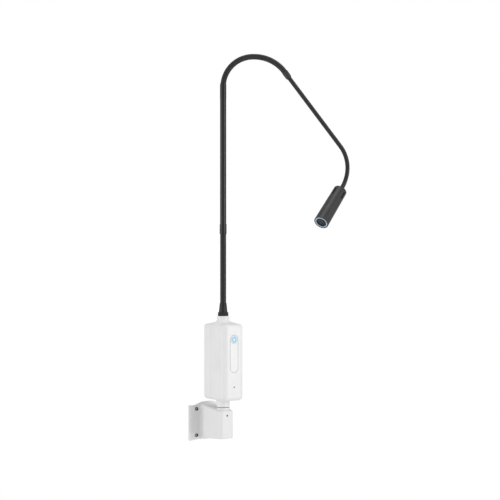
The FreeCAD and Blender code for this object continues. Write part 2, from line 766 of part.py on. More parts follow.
# ---- control housing --------------------------------------------------------------------------------
def housing_form(inset):
    """The housing's outer form, shrunk all round by inset."""
    half_x = HOUSING_HALF_WIDTH - inset
    half_y = HOUSING_HALF_DEPTH - inset
    corner = HOUSING_CORNER - inset
    low = FLOOR + inset
    high = HOUSING_TOP - inset
    block = Part.Face(rounded_rectangle(half_x, half_y, corner, low)).extrude(UP * (high - low))
    block = block.makeFillet(HOUSING_FOOT_ROUND - inset, level_edges(block, low))
    block = block.makeFillet(HOUSING_TOP_ROUND - inset, level_edges(block, high))
    step = SHOULDER_INSET
    root = NECK_ROOT_RADIUS - inset
    base = rounded_rectangle(half_x - step, half_y - step, corner - step, high)
    crown = rounded_rectangle(root + 0.1, root + 0.1, root, high + SHOULDER_RISE)
    shoulder = Part.makeLoft([base, crown], True, True)
    return block.fuse([shoulder, neck_form(inset, high + SHOULDER_RISE)]).removeSplitter()


def neck_form(inset, root_height):
    """The neck: a hollow curve from the shoulder up to a nearly straight stub."""
    root = NECK_ROOT_RADIUS - inset
    tip = NECK_RADIUS - inset
    top = NECK_TOP - inset
    waist_height = root_height + 0.6 * (NECK_TOP - root_height)
    start = vec(root, 0, root_height)
    bend = vec(tip + 0.28 * (root - tip), 0, root_height + 0.35 * (waist_height - root_height))
    waist = vec(tip, 0, waist_height)
    edges = [
        Part.makeLine(vec(0, 0, root_height), start),
        Part.Arc(start, bend, waist).toShape(),
        Part.makeLine(waist, vec(tip, 0, top)),
        Part.makeLine(vec(tip, 0, top), vec(0, 0, top)),
        Part.makeLine(vec(0, 0, top), vec(0, 0, root_height)),
    ]
    solid = Part.Face(Part.Wire(edges)).revolve(vec(0, 0, 0), UP, 360)
    solid.translate(SWIVEL)
    return solid


def cover_screw_places():
    return [
        vec(x, 0, FLOOR + z)
        for x in (-COVER_SCREW_X, COVER_SCREW_X)
        for z in (COVER_SCREW_LOW, COVER_SCREW_HIGH)
    ]


def at_y(place, y):
    """A place's X and Z at another distance from the wall."""
    return vec(place.x, y, place.z)


def housing_shell():
    """The whole hollow housing, with its openings for the post and the arm."""
    shell = housing_form(0.0).cut(housing_form(HOUSING_WALL))
    shell = shell.cut(rod(POST_RADIUS + FIT, on_swivel(FLOOR - 5), on_swivel(FLOOR + 10)))
    return shell.cut(rod(STUB_RADIUS + FIT, on_swivel(NECK_TOP - 10), on_swivel(NECK_TOP + 5)))


def strip_outline(half_width, low, high, y):
    """The upright strip's outline, round at both ends."""
    edges = [
        Part.Arc(vec(-half_width, y, low), vec(0, y, low - half_width), vec(half_width, y, low)).toShape(),
        Part.makeLine(vec(half_width, y, low), vec(half_width, y, high)),
        Part.Arc(vec(half_width, y, high), vec(0, y, high + half_width), vec(-half_width, y, high)).toShape(),
        Part.makeLine(vec(-half_width, y, high), vec(-half_width, y, low)),
    ]
    return Part.Wire(edges)


def strip_block(grow, thick):
    """The strip's solid from the front face inwards, grown sideways by grow."""
    half = STRIP_HALF_WIDTH + grow
    low = FLOOR + STRIP_LOW + STRIP_HALF_WIDTH
    high = FLOOR + STRIP_HIGH - STRIP_HALF_WIDTH
    return Part.Face(strip_outline(half, low, high, FRONT_FACE)).extrude(TO_WALL * thick)


def sensor_centre(y):
    return vec(0, y, FLOOR + STRIP_HIGH - STRIP_HALF_WIDTH)


def board_posts():
    """Places of the posts that carry the driver board, as X and Z."""
    low = FLOOR + DRIVER_BOARD_FLOOR + BOARD_MARGIN
    high = low + DRIVER_BOARD[1] - 2 * BOARD_MARGIN
    return [vec(x, 0, z) for x in (-STANDOFF_X, STANDOFF_X) for z in (low, high)]


def housing_front(shell):
    half = shell.common(box(-100, 100, -300, SEAM, 0, 400))
    skin = housing_form(0.0).cut(housing_form(SEAM_GROOVE_DEPTH))
    half = half.cut(skin.common(box(-100, 100, SEAM - SEAM_GROOVE_WIDTH, SEAM + 1, 0, 400)))
    inner = FRONT_FACE + HOUSING_WALL
    additions = []
    root = inner - HOUSING_WALL / 4
    boss_front = SEAM - COVER_SCREW_ENGAGED - 2
    half_rib = COVER_RIB / 2
    for place in cover_screw_places():
        boss = rod(COVER_PILLAR_RADIUS, at_y(place, boss_front), at_y(place, SEAM))
        side = math.copysign(1, place.x)
        rib_low, rib_high = sorted((place.x, side * (HOUSING_HALF_WIDTH - HOUSING_WALL / 2)))
        rib_back = SEAM - LIP_HEIGHT - GAP
        rib = box(rib_low, rib_high, boss_front, rib_back, place.z - half_rib, place.z + half_rib)
        additions.extend([boss, rib])
    peg_z = SENSOR_BOARD[1] / 2 - BOARD_MARGIN
    for z in (-peg_z, peg_z):
        peg = sensor_centre(0) + UP * z
        additions.append(rod(SENSOR_PEG_RADIUS, at_y(peg, root), at_y(peg, inner + SENSOR_BOARD_STANDOFF)))
    screw = vec(0, 0, FLOOR + FRONT_SCREW_Z)
    additions.append(rod(FRONT_BOSS_RADIUS, at_y(screw, root), at_y(screw, inner + FRONT_BOSS_LENGTH)))
    half = half.fuse(additions).removeSplitter()
    for place in cover_screw_places():
        pilot_end = at_y(place, SEAM - COVER_SCREW_ENGAGED - GAP)
        half = half.cut(rod(COVER_SCREW_SHANK + FIT, at_y(place, SEAM + 1), pilot_end))
    half = half.cut(strip_block(STRIP_GROOVE, STRIP_THICK + FIT))
    half = half.cut(rod(SENSOR_RADIUS - SENSOR_LEDGE, sensor_centre(FRONT_FACE), sensor_centre(inner + 1)))
    screw_end = at_y(screw, FRONT_FACE + FRONT_SCREW_RECESS + FRONT_SCREW_LENGTH + GAP)
    return half.cut(rod(FRONT_SCREW_RADIUS + FIT, at_y(screw, FRONT_FACE - 1), screw_end))


def lap_lip():
    """The lip on the back shell's edge that slips inside the front shell, open round the post nut."""
    outer = HOUSING_WALL + FIT
    hollow = housing_form(outer + LIP_THICK)
    collar = housing_form(outer).common(box(-100, 100, SEAM - LIP_HEIGHT, SEAM + 2, 0, 400))
    root = housing_form(HOUSING_WALL - LIP_ROOT).common(box(-100, 100, SEAM, SEAM + 2, 0, 400))
    nut_room = NUT_ACROSS_FLATS / math.sqrt(3) + 1
    nut_top = FLOOR + HOUSING_WALL + NUT_HEIGHT
    round_nut = rod(nut_room, on_swivel(FLOOR), on_swivel(nut_top + 1))
    return collar.fuse(root).cut(hollow).cut(round_nut)


def housing_back(shell):
    half = shell.common(box(-100, 100, SEAM, 50, 0, 400)).fuse(lap_lip())
    inner = BACK_FACE - HOUSING_WALL
    for place in cover_screw_places():
        half = half.fuse(rod(COVER_PILLAR_RADIUS, at_y(place, SEAM), at_y(place, inner + 1)))
    for place in board_posts():
        half = half.fuse(rod(STANDOFF_RADIUS, at_y(place, -REACH + DRIVER_BOARD_Y), at_y(place, inner + 1)))
    half = half.removeSplitter()
    for place in cover_screw_places():
        half = half.cut(rod(COVER_SCREW_SHANK + FIT, at_y(place, SEAM - 1), at_y(place, 0)))
        pocket_end = at_y(place, BACK_FACE - COVER_SCREW_POCKET)
        half = half.cut(rod(COVER_SCREW_HEAD + GAP, at_y(place, 0), pocket_end))
    x, _, z = INLET_BODY
    middle = FLOOR + INLET_FLOOR
    low = middle - z / 2 - FIT
    window = box(-x / 2 - FIT, x / 2 + FIT, inner - 1, BACK_FACE + 1, low, low + z + 2 * FIT)
    return half.cut(window)


def cover_screws():
    screws = []
    for place in cover_screw_places():
        head = (COVER_SCREW_HEAD, COVER_SCREW_HEAD_HEIGHT)
        screw = machine_screw(*head, COVER_SCREW_SHANK, COVER_SCREW_LENGTH, COVER_SCREW_SOCKET)
        screws.append(placed(screw, at_y(place, BACK_FACE - COVER_SCREW_POCKET), -TO_WALL))
    return Part.makeCompound(screws)


def front_screw():
    head = vec(0, FRONT_FACE + FRONT_SCREW_RECESS, FLOOR + FRONT_SCREW_Z)
    socket = placed(hexagon(FRONT_SCREW_SOCKET, FRONT_SCREW_SOCKET, vec(0, 0, 0)), head, TO_WALL)
    return rod(FRONT_SCREW_RADIUS, head, head + TO_WALL * FRONT_SCREW_LENGTH).cut(socket)


def sensor_window():
    """The inlaid strip, with the round hole for the sensor disc."""
    strip = strip_block(0.0, STRIP_THICK)
    return strip.cut(rod(SENSOR_RADIUS + FIT, sensor_centre(FRONT_FACE - 1), sensor_centre(FRONT_FACE + 5)))


def sensor_disc():
    back = FRONT_FACE + STRIP_THICK
    return rod(SENSOR_RADIUS, sensor_centre(back - SENSOR_THICK), sensor_centre(back))


def sensor_board():
    x, z, y = SENSOR_BOARD
    back = FRONT_FACE + HOUSING_WALL + SENSOR_BOARD_STANDOFF
    centre = sensor_centre(back)
    board = box(-x / 2, x / 2, back, back + y, centre.z - z / 2, centre.z + z / 2)
    eye = rod(SENSOR_EYE_RADIUS, sensor_centre(back - SENSOR_EYE_LENGTH), sensor_centre(back))
    return board.fuse(eye).removeSplitter()


def driver_board():
    x, z, y = DRIVER_BOARD
    back = -REACH + DRIVER_BOARD_Y
    low = FLOOR + DRIVER_BOARD_FLOOR
    return box(-x / 2, x / 2, back - y, back, low, low + z)


def block_on_board(size, z):
    """A block of (width, depth, height) on the driver board, its middle at z above the board's foot."""
    width, depth, height = size
    face = -REACH + DRIVER_BOARD_Y - DRIVER_BOARD[2]
    middle = FLOOR + DRIVER_BOARD_FLOOR + z
    return box(-width / 2, width / 2, face - depth, face, middle - height / 2, middle + height / 2)


def driver_parts():
    """Transformer, two capacitors, two chips and a terminal block on the driver board."""
    blocks = [block_on_board(TRANSFORMER, TRANSFORMER_Z), block_on_board(TERMINALS, TERMINALS_Z)]
    chips = [block_on_board(CHIP, z) for z in CHIP_Z]
    face = -REACH + DRIVER_BOARD_Y - DRIVER_BOARD[2]
    capacitors = []
    for x in (-CAPACITOR_X, CAPACITOR_X):
        foot = vec(x, face, FLOOR + DRIVER_BOARD_FLOOR + CAPACITOR_Z)
        capacitors.append(rod(CAPACITOR_RADIUS, foot, foot - TO_WALL * CAPACITOR_LENGTH))
    return Part.makeCompound(blocks + capacitors + chips)


def power_inlet():
    """Low-voltage inlet in the back cover: a keyed mouth with two contact pins at its end."""
    x, y, z = INLET_BODY
    mouth_x, mouth_y, mouth_z = INLET_MOUTH
    middle = FLOOR + INLET_FLOOR
    body = box(-x / 2, x / 2, BACK_FACE - y, BACK_FACE, middle - z / 2, middle + z / 2)
    mouth_end = BACK_FACE - mouth_y
    low = middle - mouth_z / 2
    mouth = box(-mouth_x / 2, mouth_x / 2, mouth_end, BACK_FACE + 1, low, low + mouth_z)
    body = body.cut(mouth)
    for side in (-INLET_PIN_X, INLET_PIN_X):
        foot = vec(side, mouth_end, middle)
        body = body.fuse(rod(INLET_PIN_RADIUS, foot, foot + TO_WALL * INLET_PIN_LENGTH))
    return body.removeSplitter()


def wiring_loom():
    """Leads between inlet, driver board, sensor board and arm."""
    board_back = -REACH + DRIVER_BOARD_Y
    board_front = board_back - DRIVER_BOARD[2]
    inlet_z = FLOOR + INLET_FLOOR
    low = FLOOR + DRIVER_BOARD_FLOOR
    inlet_end = vec(0, BACK_FACE - INLET_BODY[1], inlet_z)
    bend = vec(0, board_back + 4 * LEAD_RADIUS, inlet_z)
    supply = rod(LEAD_RADIUS, inlet_end, bend)
    supply = supply.fuse(rod(LEAD_RADIUS, bend, vec(0, board_back + 2 * LEAD_RADIUS, low + LEAD_DROP)))
    sensor_back = FRONT_FACE + HOUSING_WALL + SENSOR_BOARD_STANDOFF + SENSOR_BOARD[2]
    half_width = RIBBON[0] / 2
    ribbon_low = sensor_centre(0).z - RIBBON_Z
    ribbon_end = board_front - TERMINALS[1]
    ribbon = box(-half_width, half_width, sensor_back, ribbon_end, ribbon_low, ribbon_low + RIBBON[1])
    output_foot = vec(0, board_front - 2 * OUTPUT_LEAD_RADIUS, low + OUTPUT_LEAD_Z)
    output = rod(OUTPUT_LEAD_RADIUS, output_foot, on_swivel(NECK_TOP - STUB_LENGTH))
    return Part.makeCompound([supply.removeSplitter(), ribbon, output])


# ---- foot of the arm --------------------------------------------------------------------------------
def neck_fitting():
    """The gooseneck's foot: a threaded stub through the neck, a flange and a cup for the sleeve."""
    cup_bore = LOWER_RADIUS + FIT
    profile = [
        (STUB_BORE, -STUB_LENGTH),
        (STUB_RADIUS, -STUB_LENGTH),
        (STUB_RADIUS, 0),
        (FITTING_FLANGE_RADIUS, 0),
        (FITTING_FLANGE_RADIUS, FITTING_FLANGE),
        (FITTING_CUP_RADIUS, FITTING_FLANGE),
        (FITTING_CUP_RADIUS, FITTING_LENGTH),
        (cup_bore, FITTING_LENGTH),
        (cup_bore, SLEEVE_SEAT),
        (STUB_BORE, SLEEVE_SEAT),
    ]
    return lathe(profile, on_swivel(NECK_TOP))


def neck_nut():
    """The nut that clamps the fitting under the neck's top wall."""
    top = NECK_TOP - HOUSING_WALL
    low = top - NECK_NUT_HEIGHT
    nut = hexagon(NECK_NUT_FLATS, NECK_NUT_HEIGHT, on_swivel(low))
    return nut.cut(rod(STUB_RADIUS + FIT, on_swivel(low - 1), on_swivel(top + 1)))


def neck_boot():
    flange = FITTING_FLANGE_RADIUS + FIT
    cup_outer = FITTING_CUP_RADIUS + FIT
    sleeve = LOWER_RADIUS + FIT
    profile = [
        (flange, 0),
        (BOOT_RING_RADIUS - BOOT_CHAMFER, 0),
        (BOOT_RING_RADIUS, BOOT_CHAMFER),
        (BOOT_RING_RADIUS, BOOT_RING_HEIGHT - BOOT_CHAMFER),
        (BOOT_RING_RADIUS - BOOT_CHAMFER, BOOT_RING_HEIGHT),
        (BOOT_ROOT_RADIUS + BOOT_CHAMFER, BOOT_RING_HEIGHT),
        (BOOT_ROOT_RADIUS, BOOT_RING_HEIGHT + BOOT_THROAT),
        (BOOT_TIP_RADIUS, BOOT_LENGTH),
        (sleeve, BOOT_LENGTH),
        (sleeve, FITTING_LENGTH + FIT),
        (cup_outer, FITTING_LENGTH + FIT),
        (cup_outer, FITTING_FLANGE + FIT),
        (flange, FITTING_FLANGE + FIT),
    ]
    return lathe(profile, on_swivel(NECK_TOP))


# ---- rigid pieces of the arm ------------------------------------------------------------------------
def lower_ferrule():
    """The collar that joins the lower gooseneck's core to the rigid tube."""
    low = FERRULE_START
    high = FERRULE_END
    body = ARM.bar(low, high, FERRULE_RADIUS)
    rims = level_edges(body, body.BoundBox.ZMin) + level_edges(body, body.BoundBox.ZMax)
    body = body.makeFillet(FERRULE_ROUND, rims)
    body = body.cut(ARM.bar(low - 1, low + CORE_SEAT + FIT, LOWER_CORE_RADIUS + FIT))
    body = body.cut(ARM.bar(low, high, CABLE_RADIUS + FIT))
    return body.cut(ARM.bar(TUBE_START, high + 1, TUBE_RADIUS + FIT))


def mid_tube():
    return ARM.pipe(TUBE_START, TUBE_END, TUBE_RADIUS, TUBE_RADIUS - TUBE_WALL)


def arm_cable():
    """The cable inside the rigid tube, between the two ferrules."""
    return ARM.bar(TUBE_START, TUBE_END - SPIGOT, CABLE_RADIUS)


def upper_ferrule():
    """A collar with a spigot in the rigid tube below and a socket for the gooseneck's core above."""
    spigot = ARM.bar(TUBE_END - SPIGOT, TUBE_END, TUBE_RADIUS - TUBE_WALL - FIT)
    body = ARM.bar(TUBE_END, UPPER_FERRULE_END, UPPER_FERRULE_RADIUS)
    lip = ARM.bar(UPPER_FERRULE_END, LIP_END, UPPER_LIP_RADIUS)
    whole = fused([spigot, body, lip])
    whole = whole.cut(ARM.bar(UPPER_SEAT, LIP_END, UPPER_RADIUS + FIT))
    whole = whole.cut(ARM.bar(UPPER_SEAT - CORE_SEAT - FIT, LIP_END, UPPER_CORE_RADIUS + FIT))
    return whole.cut(ARM.bar(TUBE_END - SPIGOT, LIP_END, CABLE_RADIUS + FIT))


def neck_adapter():
    """The reducer between the thick and the thin gooseneck."""
    start = ARM.station(ADAPTER_START)
    profile = [
        (0, 0),
        (ADAPTER_RADIUS, 0),
        (ADAPTER_RADIUS, ADAPTER_STRAIGHT),
        (ADAPTER_TIP_RADIUS + ADAPTER_CHAMFER / 3, ADAPTER_LENGTH - ADAPTER_CHAMFER),
        (ADAPTER_TIP_RADIUS, ADAPTER_LENGTH),
        (0, ADAPTER_LENGTH),
    ]
    body = lathe(profile, start.point, start.along)
    body = body.cut(ARM.bar(ADAPTER_START, ADAPTER_START + CORE_SEAT + FIT, UPPER_CORE_RADIUS + FIT))
    body = body.cut(ARM.bar(ADAPTER_END - THIN_SEAT - FIT, ADAPTER_END, THIN_RADIUS + FIT))
    return body.cut(ARM.bar(ADAPTER_START, ADAPTER_END, THIN_BORE))


# ---- light head, modelled upright with its rear face at z = 0 -----------------------------------------
RING_FRONT = HEAD_LENGTH - RING_RECESS
RING_REAR = RING_FRONT - RING_DEPTH
WINDOW_FRONT = HEAD_LENGTH - WINDOW_RECESS
WINDOW_REAR = WINDOW_FRONT - WINDOW_THICK
LENS_START = WINDOW_REAR - LENS_LENGTH
EMITTER_FRONT = LENS_START - GAP - EMITTER_DOME
BOARD_FRONT = EMITTER_FRONT - EMITTER_HEIGHT
SINK_FRONT = BOARD_FRONT - LED_BOARD_THICK
SINK_REAR = SINK_FRONT - SINK_LENGTH


def axis_rod(radius, low, high):
    return Part.makeCylinder(radius, high - low, vec(0, 0, low))


def axis_ring(outer, inner, low, high):
    return axis_rod(outer, low, high).cut(axis_rod(inner, low - 1, high + 1))


def turned_points(count, radius):
    """Evenly spaced points on a circle round the head's axis."""
    step = 2 * math.pi / count
    return [vec(radius * math.cos(k * step), radius * math.sin(k * step), 0) for k in range(count)]


def head_rear_cap():
    inner = CAP_REAR_RADIUS - CAP_WALL
    spigot = BARREL_BORE - FIT
    profile = [
        (GLAND_RADIUS + FIT, 0),
        (CAP_REAR_RADIUS - CAP_CHAMFER, 0),
        (CAP_REAR_RADIUS, CAP_CHAMFER),
        (CAP_FRONT_RADIUS, CAP_LENGTH),
        (spigot, CAP_LENGTH),
        (spigot, CAP_LENGTH + CAP_SPIGOT),
        (inner, CAP_LENGTH + CAP_SPIGOT),
        (inner, CAP_FLOOR),
        (GLAND_RADIUS + FIT, CAP_FLOOR),
    ]
    cap = lathe(profile, vec(0, 0, 0))
    half = VENT_WIDTH / 2
    reach = CAP_FRONT_RADIUS + 1
    for k in range(VENT_COUNT):
        slot = box(0, reach, -half, half, VENT_START + half, VENT_END - half)
        for z in (VENT_START + half, VENT_END - half):
            slot = slot.fuse(rod(half, vec(0, 0, z), vec(reach, 0, z)))
        slot.rotate(vec(0, 0, 0), UP, 360 * k / VENT_COUNT)
        cap = cap.cut(slot)
    return cap.cut(seal_groove())


def seal_groove():
    """The groove round the rear cap's spigot for the sealing ring."""
    middle = CAP_LENGTH + CAP_SPIGOT / 2
    half = SEAL_RADIUS + FIT
    return axis_ring(BARREL_BORE + 1, BARREL_BORE - 2 * SEAL_RADIUS, middle - half, middle + half)


def head_seal():
    middle = vec(0, 0, CAP_LENGTH + CAP_SPIGOT / 2)
    return Part.makeTorus(BARREL_BORE - SEAL_RADIUS - FIT / 2, SEAL_RADIUS - FIT, middle, UP)


def head_gland():
    """The clamp nut round the thin gooseneck's end, with a lip that stops the gooseneck."""
    low = -GLAND_PROUD
    high = GLAND_LENGTH - GLAND_PROUD
    stop = high - GLAND_STOP
    profile = [
        (THIN_RADIUS + FIT, low),
        (GLAND_RADIUS - GLAND_CHAMFER, low),
        (GLAND_RADIUS, low + GLAND_CHAMFER),
        (GLAND_RADIUS, high),
        (THIN_BORE + FIT, high),
        (THIN_BORE + FIT, stop),
        (THIN_RADIUS + FIT, stop),
    ]
    return lathe(profile, vec(0, 0, 0))


def barrel_radius(z):
    """The barrel's outer radius, which grows evenly from the cap to the front."""
    share = (z - CAP_LENGTH) / (HEAD_LENGTH - CAP_LENGTH)
    return CAP_FRONT_RADIUS + share * (BARREL_FRONT_RADIUS - CAP_FRONT_RADIUS)


def head_barrel():
    rim_inner = RING_OUTER_RADIUS + FIT
    chamfer = HEAD_LENGTH - BARREL_CHAMFER
    narrow = BARREL_BORE - BARREL_SHOULDER
    narrow_rear = CAP_LENGTH + CAP_SPIGOT + GAP
    narrow_front = SINK_FRONT - SINK_PLATE
    profile = [
        (BARREL_BORE, CAP_LENGTH),
        (barrel_radius(CAP_LENGTH), CAP_LENGTH),
        (barrel_radius(chamfer), chamfer),
        (BARREL_FRONT_RADIUS - BARREL_CHAMFER, HEAD_LENGTH),
        (rim_inner, HEAD_LENGTH),
        (rim_inner, RING_REAR),
        (BARREL_BORE, RING_REAR),
        (BARREL_BORE, narrow_front),
        (narrow, narrow_front),
        (narrow, narrow_rear),
        (BARREL_BORE, narrow_rear),
    ]
    return lathe(profile, vec(0, 0, 0))


def heat_sink():
    """A finned bar with a plate at its front that carries the LED board."""
    bar = axis_rod(SINK_CORE_RADIUS, SINK_REAR, SINK_FRONT)
    half = SINK_FIN_THICK / 2
    for k in range(SINK_FIN_COUNT):
        fin = box(0, SINK_FIN_RADIUS, -half, half, SINK_REAR, SINK_FRONT - SINK_FIN_SETBACK)
        fin.rotate(vec(0, 0, 0), UP, 360 * (k + 0.5) / SINK_FIN_COUNT)
        bar = bar.fuse(fin)
    head_plate = axis_rod(BARREL_BORE - FIT, SINK_FRONT - SINK_PLATE, SINK_FRONT)
    return bar.fuse(head_plate).removeSplitter().cut(axis_rod(SINK_BORE, 0, SINK_FRONT + 1))


def led_board():
    return axis_ring(LED_BOARD_RADIUS, SINK_BORE / 2, SINK_FRONT, BOARD_FRONT)


def led_emitter():
    """The light source: a square base with a domed lens."""
    base = box(-EMITTER_HALF, EMITTER_HALF, -EMITTER_HALF, EMITTER_HALF, BOARD_FRONT, EMITTER_FRONT)
    dome = Part.makeSphere(EMITTER_DOME, vec(0, 0, EMITTER_FRONT), UP, 0, 90, 360)
    return base.fuse(dome).removeSplitter()


def collimator_lens():
    """The conical lens that gathers the light, with a flange that its holder grips."""
    profile = [
        (0, 0),
        (LENS_REAR_RADIUS, 0),
        (LENS_FRONT_RADIUS - 0.6, LENS_LENGTH - LENS_FLANGE),
        (LENS_FRONT_RADIUS, LENS_LENGTH - LENS_FLANGE),
        (LENS_FRONT_RADIUS, LENS_LENGTH),
        (0, LENS_LENGTH),
    ]
    return lathe(profile, vec(0, 0, LENS_START))


def lens_holder():
    """The dark tube between LED board and light ring, with a lip round the window."""
    outer = RING_INNER_RADIUS - FIT
    profile = [
        (LENS_FRONT_RADIUS + FIT, BOARD_FRONT),
        (BARREL_BORE - FIT, BOARD_FRONT),
        (BARREL_BORE - FIT, RING_REAR),
        (outer, RING_REAR),
        (outer, RING_FRONT),
        (LIP_INNER_RADIUS, RING_FRONT),
        (LIP_INNER_RADIUS, WINDOW_FRONT),
        (LENS_FRONT_RADIUS + FIT, WINDOW_FRONT),
    ]
    return lathe(profile, vec(0, 0, 0))


def light_ring():
    """The translucent ring round the lens, which glows blue."""
    return axis_ring(RING_OUTER_RADIUS, RING_INNER_RADIUS, RING_REAR, RING_FRONT)


def front_window():
    return axis_rod(LENS_FRONT_RADIUS, WINDOW_REAR, WINDOW_FRONT)


def head_lead():
    """The two leads through the heat sink's bore to the LED board."""
    leads = []
    for x in (-LEAD_X, LEAD_X):
        leads.append(rod(HEAD_LEAD_RADIUS, vec(x, 0, HEAD_LEAD_START), vec(x, 0, SINK_FRONT)))
    return Part.makeCompound(leads)


def board_screws():
    """Three screws that hold the LED board to the heat sink, heads on the board."""
    heads = []
    for place in turned_points(BOARD_SCREW_COUNT, BOARD_SCREW_CIRCLE):
        foot = place + UP * BOARD_FRONT
        heads.append(rod(BOARD_SCREW_RADIUS, foot, foot + UP * BOARD_SCREW_HEIGHT))
    return Part.makeCompound(heads)


def at_head(shape):
    """Move a piece of the head from its own frame to the arm's end."""
    end = ARM.station(HEAD_START).rolled(HEAD_ROLL)
    turn = FreeCAD.Rotation(end.axis, end.along.cross(end.axis), end.along, "ZXY")
    moved = shape.copy()
    moved.Placement = FreeCAD.Placement(end.point, turn) * shape.Placement
    return moved


# ---- the whole lamp ---------------------------------------------------------------------------------
def lamp():
    """Every node of the lamp, as {node name: shape}."""
    shell = housing_shell()
    nodes = {
        "bracket_casting": bracket_casting(),
        "wall_bushes": wall_bushes(),
        "socket_liner": socket_liner(),
        "bracket_set_screw": bracket_set_screw(),
        "swivel_washer": swivel_washer(),
        "post_tube": post_tube(),
        "post_collar": post_collar(),
        "post_nut": post_nut(),
        "housing_front": housing_front(shell),
        "housing_back": housing_back(shell),
        "sensor_window": sensor_window(),
        "sensor_disc": sensor_disc(),
        "sensor_board": sensor_board(),
        "driver_board": driver_board(),
        "driver_parts": driver_parts(),
        "power_inlet": power_inlet(),
        "cover_screws": cover_screws(),
        "front_screw": front_screw(),
        "wiring_loom": wiring_loom(),
        "neck_fitting": neck_fitting(),
        "neck_nut": neck_nut(),
        "neck_boot": neck_boot(),
        "lower_ferrule": lower_ferrule(),
        "mid_tube": mid_tube(),
        "arm_cable": arm_cable(),
        "upper_ferrule": upper_ferrule(),
        "neck_adapter": neck_adapter(),
    }
    lower_sleeve = (SLEEVE_SEAT, FERRULE_START, LOWER_PIVOTS, LOWER_RADIUS, LOWER_CORE_RADIUS + FIT)
    lower_core = (SLEEVE_SEAT, FERRULE_START + CORE_SEAT, LOWER_PIVOTS, LOWER_CORE_RADIUS)
    upper_sleeve = (UPPER_SEAT, ADAPTER_START, UPPER_PIVOTS, UPPER_RADIUS, UPPER_CORE_RADIUS + FIT)
    upper_core = (UPPER_SEAT - CORE_SEAT, ADAPTER_START + CORE_SEAT, UPPER_PIVOTS, UPPER_CORE_RADIUS)
    thin_sleeve = (ADAPTER_END - THIN_SEAT, ARM.length, THIN_PIVOTS, THIN_RADIUS, THIN_BORE)
    nodes.update(gooseneck("lower_sleeve", *lower_sleeve, LOWER_CUP))
    nodes.update(cores("lower_core", *lower_core, LOWER_CUP))
    nodes.update(gooseneck("upper_sleeve", *upper_sleeve, UPPER_CUP))
    nodes.update(cores("upper_core", *upper_core, UPPER_CUP))
    nodes.update(gooseneck("thin_sleeve", *thin_sleeve, THIN_CUP))
    head = {
        "head_gland": head_gland(),
        "head_rear_cap": head_rear_cap(),
        "head_seal": head_seal(),
        "head_barrel": head_barrel(),
        "heat_sink": heat_sink(),
        "led_board": led_board(),
        "led_emitter": led_emitter(),
        "collimator_lens": collimator_lens(),
        "lens_holder": lens_holder(),
        "light_ring": light_ring(),
        "front_window": front_window(),
        "head_lead": head_lead(),
        "board_screws": board_screws(),
    }
    for name, shape in head.items():
        nodes[name] = at_head(shape)
    return nodes


def print_joints():
    """Print each joint's place and axis, for the lamp's record."""
    print("swivel", on_swivel(FLOOR), UP)
    for name, pivots in (("lower", LOWER_PIVOTS), ("upper", UPPER_PIVOTS), ("thin", THIN_PIVOTS)):
        for k, distance in enumerate(pivots):
            place = ARM.station(distance)
            print(name, k + 1, place.point, "bend", place.axis, "side", place.side_axis())


if __name__ == "__main__":
    os.makedirs("parts", exist_ok=True)
    for node, shape in lamp().items():
        shape.exportStep(f"parts/{node}.step")
    print_joints()
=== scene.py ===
import json
import logging
import math
from abc import ABC, abstractmethod
from dataclasses import dataclass, field
from enum import Enum
from typing import Callable, ClassVar, Iterable, Sequence

import bmesh
import bpy
from mathutils import Matrix, Vector


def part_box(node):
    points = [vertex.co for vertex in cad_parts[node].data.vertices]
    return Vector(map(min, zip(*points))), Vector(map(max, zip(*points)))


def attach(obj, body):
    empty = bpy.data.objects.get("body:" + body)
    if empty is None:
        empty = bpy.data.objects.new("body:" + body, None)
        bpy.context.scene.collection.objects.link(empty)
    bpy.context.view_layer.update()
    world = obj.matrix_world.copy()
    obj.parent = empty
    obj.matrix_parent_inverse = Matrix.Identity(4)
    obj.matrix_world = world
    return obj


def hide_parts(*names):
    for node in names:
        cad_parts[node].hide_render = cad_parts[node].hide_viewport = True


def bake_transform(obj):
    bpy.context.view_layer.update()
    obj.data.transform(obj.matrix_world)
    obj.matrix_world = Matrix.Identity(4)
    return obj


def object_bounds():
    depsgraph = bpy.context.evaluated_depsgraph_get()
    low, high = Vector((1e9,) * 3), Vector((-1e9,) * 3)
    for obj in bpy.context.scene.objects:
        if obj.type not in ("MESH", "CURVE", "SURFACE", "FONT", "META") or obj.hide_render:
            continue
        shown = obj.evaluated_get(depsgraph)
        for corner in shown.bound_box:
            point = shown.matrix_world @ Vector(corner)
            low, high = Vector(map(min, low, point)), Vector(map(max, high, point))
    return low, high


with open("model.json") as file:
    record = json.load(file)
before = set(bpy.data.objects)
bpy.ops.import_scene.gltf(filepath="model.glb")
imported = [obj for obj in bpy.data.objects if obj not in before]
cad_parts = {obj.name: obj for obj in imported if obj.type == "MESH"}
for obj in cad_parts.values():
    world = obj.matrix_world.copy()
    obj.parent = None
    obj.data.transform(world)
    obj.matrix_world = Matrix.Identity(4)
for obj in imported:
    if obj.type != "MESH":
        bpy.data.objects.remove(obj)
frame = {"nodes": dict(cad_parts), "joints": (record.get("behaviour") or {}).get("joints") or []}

CAD_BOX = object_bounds()
MM = 0.001
WELD = 0.001 * MM
LOG = logging.getLogger("lamp")

Tree = bpy.types.NodeTree
Node = bpy.types.Node
Socket = bpy.types.NodeSocket
Piece = bpy.types.Object
Place = tuple[float, float, float]
Bands = tuple[tuple[float, str], ...]


# ---- small helpers -----------------------------------------------------------------------------------
def linear(code: str) -> tuple[float, float, float, float]:
    """Turn an sRGB hex colour into the linear colour that the shaders use.

    Args:
        code: six hex digits, such as "e8e8e6".

    Returns:
        Red, green, blue and an alpha of 1.
    """
    parts = [int(code[k:k + 2], 16) / 255 for k in (0, 2, 4)]
    red, green, blue = (c / 12.92 if c <= 0.04045 else ((c + 0.055) / 1.055) ** 2.4 for c in parts)
    return red, green, blue, 1.0


